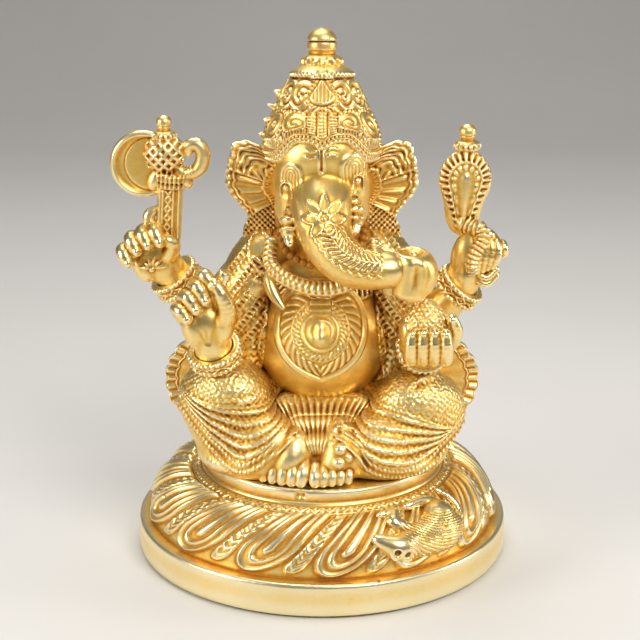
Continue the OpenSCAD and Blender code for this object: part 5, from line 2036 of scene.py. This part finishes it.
    def cobra(self) -> None:
        """Casts the cobra's spread hood and the beaded neck that coils through the fist."""
        low, high = self.figure.low["cobra_hood"], self.figure.high["cobra_hood"]
        c = vec((low[0] + high[0]) / 2 - 0.3, (low[1] + high[1]) / 2 + 0.6, high[2] - 9.0)
        clay = Clay((low[0] - 3, low[1] - 7, low[2] - 7), (high[0] + 3, high[1] + 3, high[2] + 3), self.grain)
        clay.add(egg(c, (7.8, 2.4, 9.0)))
        clay.add(egg(c + vec(-0.5, 0, -7.6), (5.6, 2.3, 9.4), (0, 3, 0)), 2.0)

        def relief(x: Array, y: Array, z: Array) -> Array:
            """Ribs round the hood, a line, a ring of pearls and a leaf in the middle."""
            dx, dz = x - c[0] + 0.05 * np.clip(c[2] - z, 0, 20), z - c[2]
            wide = np.where(dz > 0, 7.8, 7.8 * np.clip(1 + dz / 19.0, 0.2, 1))
            q = np.where(dz > 0, np.hypot(dx / 7.8, dz / 9.0), np.abs(dx) / wide)
            turn = np.where(dz > 0, np.arctan2(dx, dz) * 8.2, np.sign(dx) * 8.2 * math.pi / 2
                            - dz * np.sign(dx) * 1.05)
            ribs = 0.42 * np.cos(turn * 3.0) * between(q, 0.66, 0.97, 0.03)
            pearls = 0.5 * bump(q - 0.46, 0.10) * (0.55 + 0.45 * np.cos(turn * 1.7))
            line = 0.5 * bump(q - 0.64, 0.05)
            leaf = 0.55 * bump(q, 0.22) + 0.3 * bump(np.hypot(dx, dz - 1.5), 1.0)
            return ((y < c[1] + 0.6) * (ribs + pearls + line + leaf) * step(dz, -15.0, 1.0)
                    + (y >= c[1] + 0.6) * ribs * 0.6)

        clay.emboss(relief)
        neck = [(-0.2, -1.0, -13.0, 2.2), (2.6, -2.4, -14.0, 2.1), (5.0, -3.6, -14.4, 2.0),
                (5.2, -5.2, -17.2, 1.9), (3.0, -6.2, -20.8, 1.8),
                (2.0, -6.0, -24.6, 1.6), (2.6, -4.6, -27.4, 1.3)]
        path = about(c, *neck)
        clay.rope(path, 0.5)
        line = smooth_path(path)[:, :3]
        ridge_round(clay, line, 0.28, 1.35, 2.8)
        hand_in("cobra_hood_and_neck", clay.fired(), self.finishes.ornament, Slot.ORNAMENT, "cobra_hood")
        self.cap("hood_cap", "hood_knob", c + vec(0.4, 0, 0), high[2] - 0.2, 1.0)

    def build(self) -> None:
        """Builds the axe and the cobra."""
        self.axe()
        self.cobra()


# ---- Pedestal ----


@dataclass
class Pedestal(Work):
    """The round lotus pedestal: rim, swirling petals, leaf band and seat."""

    rim_h: float = 10.6
    rim_land: float = 4.0
    recess: float = 2.2
    slope_rise: float = 14.5
    slope_run: float = 21.6
    seat_r: float = 37.0
    band_w: float = 3.5
    petals: int = 14
    lean: float = math.radians(21.0)
    first_tip: float = math.radians(-83.6)
    turns: int = 860
    slope_steps: int = 74
    band_steps: int = 14
    outline: Array = field(init=False)
    slope_at: int = field(init=False)
    band_at: int = field(init=False)

    def profile(self) -> Array:
        """Radius and height from the middle of the underside to the middle of the seat."""
        foot = self.figure.foot_r
        land = foot - self.rim_land
        head = self.seat_r + self.band_w
        band_z = self.rim_h + self.slope_rise
        rows = [[r, self.recess] for r in (0, 20, 40, land + 0.1)] + [[land + 0.3, 1.9], [land + 0.3, 0.9]]
        rows += [[land + 0.6, 0.62], [foot - 0.9, 0.62], [foot - 0.3, 0.85], [foot - 0.05, 1.4]]
        rows += [[foot, z] for z in np.linspace(2.2, self.rim_h - 1.2, 8)]
        rows += [[foot - 0.1, self.rim_h - 0.6], [foot - 0.4, self.rim_h - 0.2], [foot - 0.9, self.rim_h]]
        rows += [[r, self.rim_h - 0.15 * math.sin(math.pi * (foot - r) / self.rim_land)] for r in
                 np.linspace(foot - 1.4, land + 0.3, 6)]
        self.slope_at = len(rows)
        tilt = np.linspace(0.0, math.pi / 2, self.slope_steps)
        rows += [[head + (land - head) * math.cos(t), self.rim_h + self.slope_rise * math.sin(t)]
                 for t in tilt]
        self.band_at = len(rows)
        rows += [[head - self.band_w * 0.72 * t, band_z + 1.1 * math.sin(t * math.pi / 2)]
                 for t in np.linspace(0.06, 1.0, self.band_steps)]
        lip = self.seat_r + 0.65
        rows += [[lip, band_z + 1.3], [lip, band_z + 2.0], [lip - 0.35, band_z + 2.3],
                 [self.seat_r, band_z + 2.4]]
        top = self.figure.seat
        rows += [[self.seat_r, z] for z in np.linspace(band_z + 2.8, top - 0.9, 7)]
        rows += [[self.seat_r - 0.12, top - 0.4], [self.seat_r - 0.45, top - 0.08], [self.seat_r - 0.9, top]]
        rows += [[r, top] for r in np.linspace(self.seat_r - 3, 0, 10)]
        return np.array(rows, dtype=float)

    def petal_relief(self, angle: Array, share: Array, radius: Array) -> Array:
        """Height of the petals at a turn and a share of the way up the slope."""
        run = self.slope_run * share
        unit_angle = TURN / self.petals
        turn = angle - self.first_tip - self.lean * (share - 0.25)
        off = (turn / unit_angle + 0.5) % 1.0 - 0.5
        across = off * unit_angle * radius
        half_gap = 0.5 * unit_angle * radius
        narrowing = np.clip((run - 8.0) / 13.0, 0, 1)
        wide = 8.1 - 2.7 * narrowing
        outline = np.where(run < 8.3, np.hypot(across, 1.08 * (8.3 - run)) - 8.1, np.abs(across) - wide)
        loop_w = 4.3 - 1.4 * narrowing
        loop = np.where(run < 8.2, np.hypot(across, 8.2 - run) - 4.3, np.abs(across) - loop_w)
        rib_w = 1.35 - 0.7 * np.clip((run - 7.5) / 12.0, 0, 1)
        rib = np.where(run < 7.9, np.hypot(across, 7.9 - run) - 1.5, np.abs(across) - rib_w)
        height = 0.85 * (1 - step(outline, -0.1, 0.55))
        height += 0.75 * bump(outline + 0.85, 0.62)
        height += 0.95 * bump(loop, 0.62) - 0.25 * (1 - step(loop, -0.5, 0.5))
        height += 1.05 * (1 - step(rib, 0.0, 0.5))
        leaf_x = half_gap - np.abs(across)
        leaf = np.where(run < 4.2, np.hypot(leaf_x, 4.2 - run) - 2.6, leaf_x - (2.6 - 0.08 * (run - 4.2)))
        inside = 1 - step(leaf, 0.0, 0.5)
        scales = np.sin((run - np.abs(leaf_x) * 0.9) * TURN / 2.3)
        height += inside * (0.55 + 0.22 * scales) + 0.3 * bump(leaf + 0.3, 0.45)
        ends = step(run, 0.5, 0.5) * (1 - step(run, 20.9, 0.6))
        return 0.85 * height * ends

    def band_relief(self, angle: Array, share: Array) -> Array:
        """Height of the leaf band round the seat: a zigzag of small leaves between two fine lines."""
        leaves = 58
        phase = (angle * leaves / TURN) % 1.0
        tooth = 1.0 - 2.0 * np.abs(phase - 0.5)
        zigzag = np.abs(share - 0.18 - 0.62 * tooth)
        seeds = np.hypot((phase - 0.5) * 2.6, (share - 0.34) * 1.7)
        other = np.hypot((((phase + 0.5) % 1.0) - 0.5) * 2.6, (share - 0.70) * 1.9)
        height = 0.42 * bump(zigzag, 0.13) + 0.55 * bump(seeds, 0.34) + 0.45 * bump(other, 0.34)
        return height + 0.35 * bump(share - 0.02, 0.05) + 0.4 * bump(share - 0.97, 0.05)

    def relief(self, angle: Array, place: Array) -> Array:
        """Height of the ornament over the whole profile."""
        radius = self.outline[place, 0]
        slope = (place - self.slope_at) / (self.slope_steps - 1)
        band = (place - self.band_at) / (self.band_steps - 1)
        on_slope = (slope >= 0) & (slope <= 1)
        on_band = (band >= 0) & (band <= 1)
        height = np.where(on_slope, self.petal_relief(angle, np.clip(slope, 0, 1), radius), 0.0)
        height = np.where(on_band, self.band_relief(angle, np.clip(band, 0, 1)), height)
        for pit_angle, pit_place, size in self.pits():
            gap = np.hypot((angle - pit_angle) * radius, (place - pit_place) * 0.3)
            height -= 0.9 * bump(gap, size) * (gap < 3.0 * size)
        return height

    def pits(self) -> list[tuple[float, int, float]]:
        """A few casting pits: angle, profile step and size."""
        rng = np.random.default_rng(7)
        seat_side = self.band_at + self.band_steps + 8
        found = [(TURN - math.radians(101.0), seat_side, 0.75), (TURN - math.radians(98.6), seat_side, 0.6)]
        for _ in range(26):
            low, high = self.slope_at - 6, self.band_at
            found.append((float(rng.uniform(0, TURN)), int(rng.integers(low, high)),
                          float(rng.uniform(0.28, 0.45))))
        return found

    def build(self) -> None:
        """Casts the pedestal."""
        self.outline = self.profile()
        shell = lathe(self.outline, self.turns, self.relief).mark_hollows(0.09, 0.45)
        hand_in("lotus_pedestal", shell, self.finishes.pedestal, Slot.BRASS, "pedestal")


@dataclass
class Mouse(Work):
    """The mouse that crouches on the petals, nose to the front."""

    grain: float = 0.32
    turn: float = math.radians(-55.0)
    tilt: float = math.radians(42.0)
    base_r: float = 49.4
    base_z: float = 19.2

    def sculpt(self) -> Shell:
        """The mouse with +X to its nose, +Y up the slope and +Z out of the slope."""
        clay = Clay((-19, -13, -4), (19, 11, 9), self.grain)
        clay.add(egg((-6.5, 0.6, 0.6), (8.6, 6.6, 4.6), (0, 0, 8)), 1.5)
        clay.add(egg((1.5, 2.0, 0.8), (7.5, 5.0, 4.0), (0, 0, -6)), 2.5)
        clay.rope([(6, 2.6, 1.6, 3.9), (10, 2.6, 2.2, 3.4), (13.2, 0.4, 1.8, 2.2),
                   (15.6, -1.8, 1.3, 1.2)], 1.2)
        for x, y in ((9.2, 6.0), (12.2, 4.6)):
            clay.add(egg((x, y, 2.8), (1.9, 2.2, 0.9), (-30, 20, 20)), 0.4)
            clay.cut(ball((x + 0.1, y + 0.1, 4.1), 1.0), 0.5)
        clay.add(ball((12.3, 2.0, 3.6), 0.7), 0.2)
        clay.add(egg((-8.5, -3.6, 1.2), (5.2, 4.4, 3.6), (0, 0, -20)), 0.8)
        clay.rope([(-9, -7.2, 0.6, 1.8), (-5, -8.9, 0.8, 1.5), (0.5, -8.6, 0.6, 1.2)], 0.8)
        clay.rope([(4.5, -2.0, 1.0, 2.4), (7.5, -5.2, 1.2, 1.8), (5.6, -8.0, 0.8, 1.3),
                   (10.6, -8.3, 0.5, 1.0)], 0.8)
        clay.rope([(-13.5, 2.0, 0.4, 1.3), (-16.6, -2.4, 0.2, 1.0), (-16.0, -7.2, 0.0, 0.8),
                   (-12.4, -11.2, -0.2, 0.6)], 0.6)
        for k in range(4):
            clay.stroke(vec(9.6, -8.9, 0.9) + np.outer([0, 1], vec(2.0, -0.4 + 0.4 * k, 0))
                        + vec(0, 0.45 * k, 0), 0.22, -0.25)

        def fur(x: Array, y: Array, z: Array) -> Array:
            """Curved fur lines over the back and neck."""
            sweep = np.hypot(x + 9.0, 1.5 * (y + 5.5))
            strands = np.sin(TURN * sweep / 1.15 + 1.2 * np.sin(x * 0.5))
            return 0.17 * strands * (1 - step(x, 8.5, 1.5)) * step(y, -3.5, 1.5)

        return Shell.of(*clay.emboss(fur).skin())

    def build(self) -> None:
        """Sculpts the mouse and sets it on the slope."""
        shell = self.sculpt()
        out = vec(math.cos(self.turn) * math.cos(self.tilt), math.sin(self.turn) * math.cos(self.tilt),
                  math.sin(self.tilt))
        forward = vec(math.sin(self.turn), -math.cos(self.turn), 0.0)
        up = np.cross(out, forward)
        origin = vec(math.cos(self.turn) * self.base_r, math.sin(self.turn) * self.base_r, self.base_z)
        shell.points = origin + shell.points @ np.stack([forward, up, out])
        hand_in("crouching_mouse", shell.mark_hollows(), self.finishes.skin, Slot.BRASS, "mouse")


def dress_underside(frame: dict, finishes: Finishes) -> None:
    """Gives the plain pieces under the pedestal their finishes."""
    dress = {"closing_disc": finishes.board, "felt_pad": finishes.felt, "seat_bolts": finishes.steel,
             "seat_washers": finishes.steel}
    for node, material in dress.items():
        mesh = frame["nodes"][node].data
        mesh.materials.clear()
        mesh.materials.append(material)
        LOG.info("%s: dressed in %s", node, material.name)


# ---- Studio ----


@dataclass
class Studio:
    """Pale floor, soft lights and the camera."""

    eye: Point = (-0.6, -495.0, 228.0)
    aim: Point = (-0.6, 0.0, 72.0)
    lens: float = 95.3
    heart: Point = (0, 0, 80)
    lights: tuple[tuple[str, Point, float, float, Point], ...] = (
        ("key_softbox", (260, -420, 520), 300, 2.3, (1.0, 0.97, 0.92)),
        ("left_softbox", (-520, -260, 260), 260, 1.6, (1.0, 0.96, 0.90)),
        ("top_softbox", (-60, 160, 620), 360, 1.75, (1.0, 1.0, 1.0)),
        ("right_strip", (560, -40, 200), 200, 1.0, (1.0, 0.95, 0.88)),
    )

    def camera(self) -> None:
        """Sets the camera a little above the figure, looking down on the pedestal."""
        data = bpy.data.cameras.new("view")
        data.lens = self.lens
        data.sensor_width = 36.0
        data.clip_start = 0.01
        made = bpy.data.objects.new("view", data)
        bpy.context.scene.collection.objects.link(made)
        made.location = vec(*self.eye) * MM
        down = math.atan2(self.eye[2] - self.aim[2], self.aim[1] - self.eye[1])
        made.rotation_euler = (math.pi / 2 - down, 0.0, 0.0)
        bpy.context.scene.camera = made
        bpy.context.scene.view_settings.view_transform = "Standard"

    def light(self, name: str, where: Point, size: float, power: float, tint: Point) -> None:
        """Hangs one soft square light that faces the figure.

        Args:
            name: the light's name.
            where: its place in millimetres.
            size: its side in millimetres.
            power: its power in watts.
            tint: its colour.
        """
        data = bpy.data.lights.new(name, "AREA")
        data.size = size * MM
        data.energy = power
        data.color = tint
        made = bpy.data.objects.new(name, data)
        bpy.context.scene.collection.objects.link(made)
        made.location = np.array(where) * MM
        facing = unit(np.array(where, dtype=float) - np.array(self.heart, dtype=float))
        made.rotation_euler = (math.acos(facing[2]), 0.0, math.atan2(facing[1], facing[0]) + math.pi / 2)

    def floor(self) -> None:
        """A wide pale floor that curves up far behind."""
        bend = [(600 + 500 * math.sin(t), 500 - 500 * math.cos(t))
                for t in np.linspace(0.15, math.pi / 2, 10)]
        rows = [[[-2200, y, z], [2200, y, z]] for y, z in [(-1600, 0), (600, 0), *bend, (1100, 1800)]]
        grid = np.array(rows, dtype=float)
        points = grid.reshape(-1, 3)
        i = np.arange(len(rows) - 1) * 2
        shell = Shell.of(points, np.stack([i, i + 1, i + 3, i + 2], axis=-1))
        made, shader = new_material("pale_floor")
        tree = made.node_tree
        shader.inputs["Roughness"].default_value = 0.6
        place = add_node(tree, "ShaderNodeTexCoord").outputs["Object"]
        mottle = noise_at(tree, place, 6.0, 3.0)
        tone = ramp(tree, mottle, ((0.3, (0.74, 0.725, 0.70)), (0.7, (0.78, 0.765, 0.74))))
        tree.links.new(tone, shader.inputs["Base Color"])
        cast("floor", shell, made)

    def world(self) -> None:
        """Soft surroundings: light above, dimmer at the sides."""
        made = bpy.data.worlds.new("studio")
        made.use_nodes = True
        tree = made.node_tree
        place = add_node(tree, "ShaderNodeTexCoord").outputs["Generated"]
        split = add_node(tree, "ShaderNodeSeparateXYZ")
        tree.links.new(place, split.inputs[0])
        up = blend_of(tree, "ADD", blend_of(tree, "MULTIPLY", split.outputs["Z"], 0.5), 0.5)
        sky = ramp(tree, up, ((0.0, (0.10, 0.085, 0.07)), (0.5, (0.16, 0.15, 0.14)),
                              (0.72, (0.42, 0.41, 0.40)), (1.0, (0.75, 0.75, 0.76))))
        tree.links.new(sky, tree.nodes["Background"].inputs["Color"])
        tree.nodes["Background"].inputs["Strength"].default_value = 0.40
        bpy.context.scene.world = made

    def build(self) -> None:
        """Sets the whole studio."""
        self.camera()
        self.floor()
        self.world()
        for name, place, size, power, tint in self.lights:
            self.light(name, place, size, power, tint)


def main() -> None:
    """Loads the frame, builds each part of the idol in order and sets the studio."""
    logging.basicConfig(level=logging.INFO, format="%(name)s %(message)s")
    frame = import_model()
    figure = Figure.from_frame(frame["nodes"])
    finishes = Finishes()
    for part in (Pedestal, Mouse, Legs, Torso, Head, Crown, Arms, Emblems):
        part(figure, finishes).build()
    dress_underside(frame, finishes)
    Studio().build()


if __name__ == "__main__":
    main()
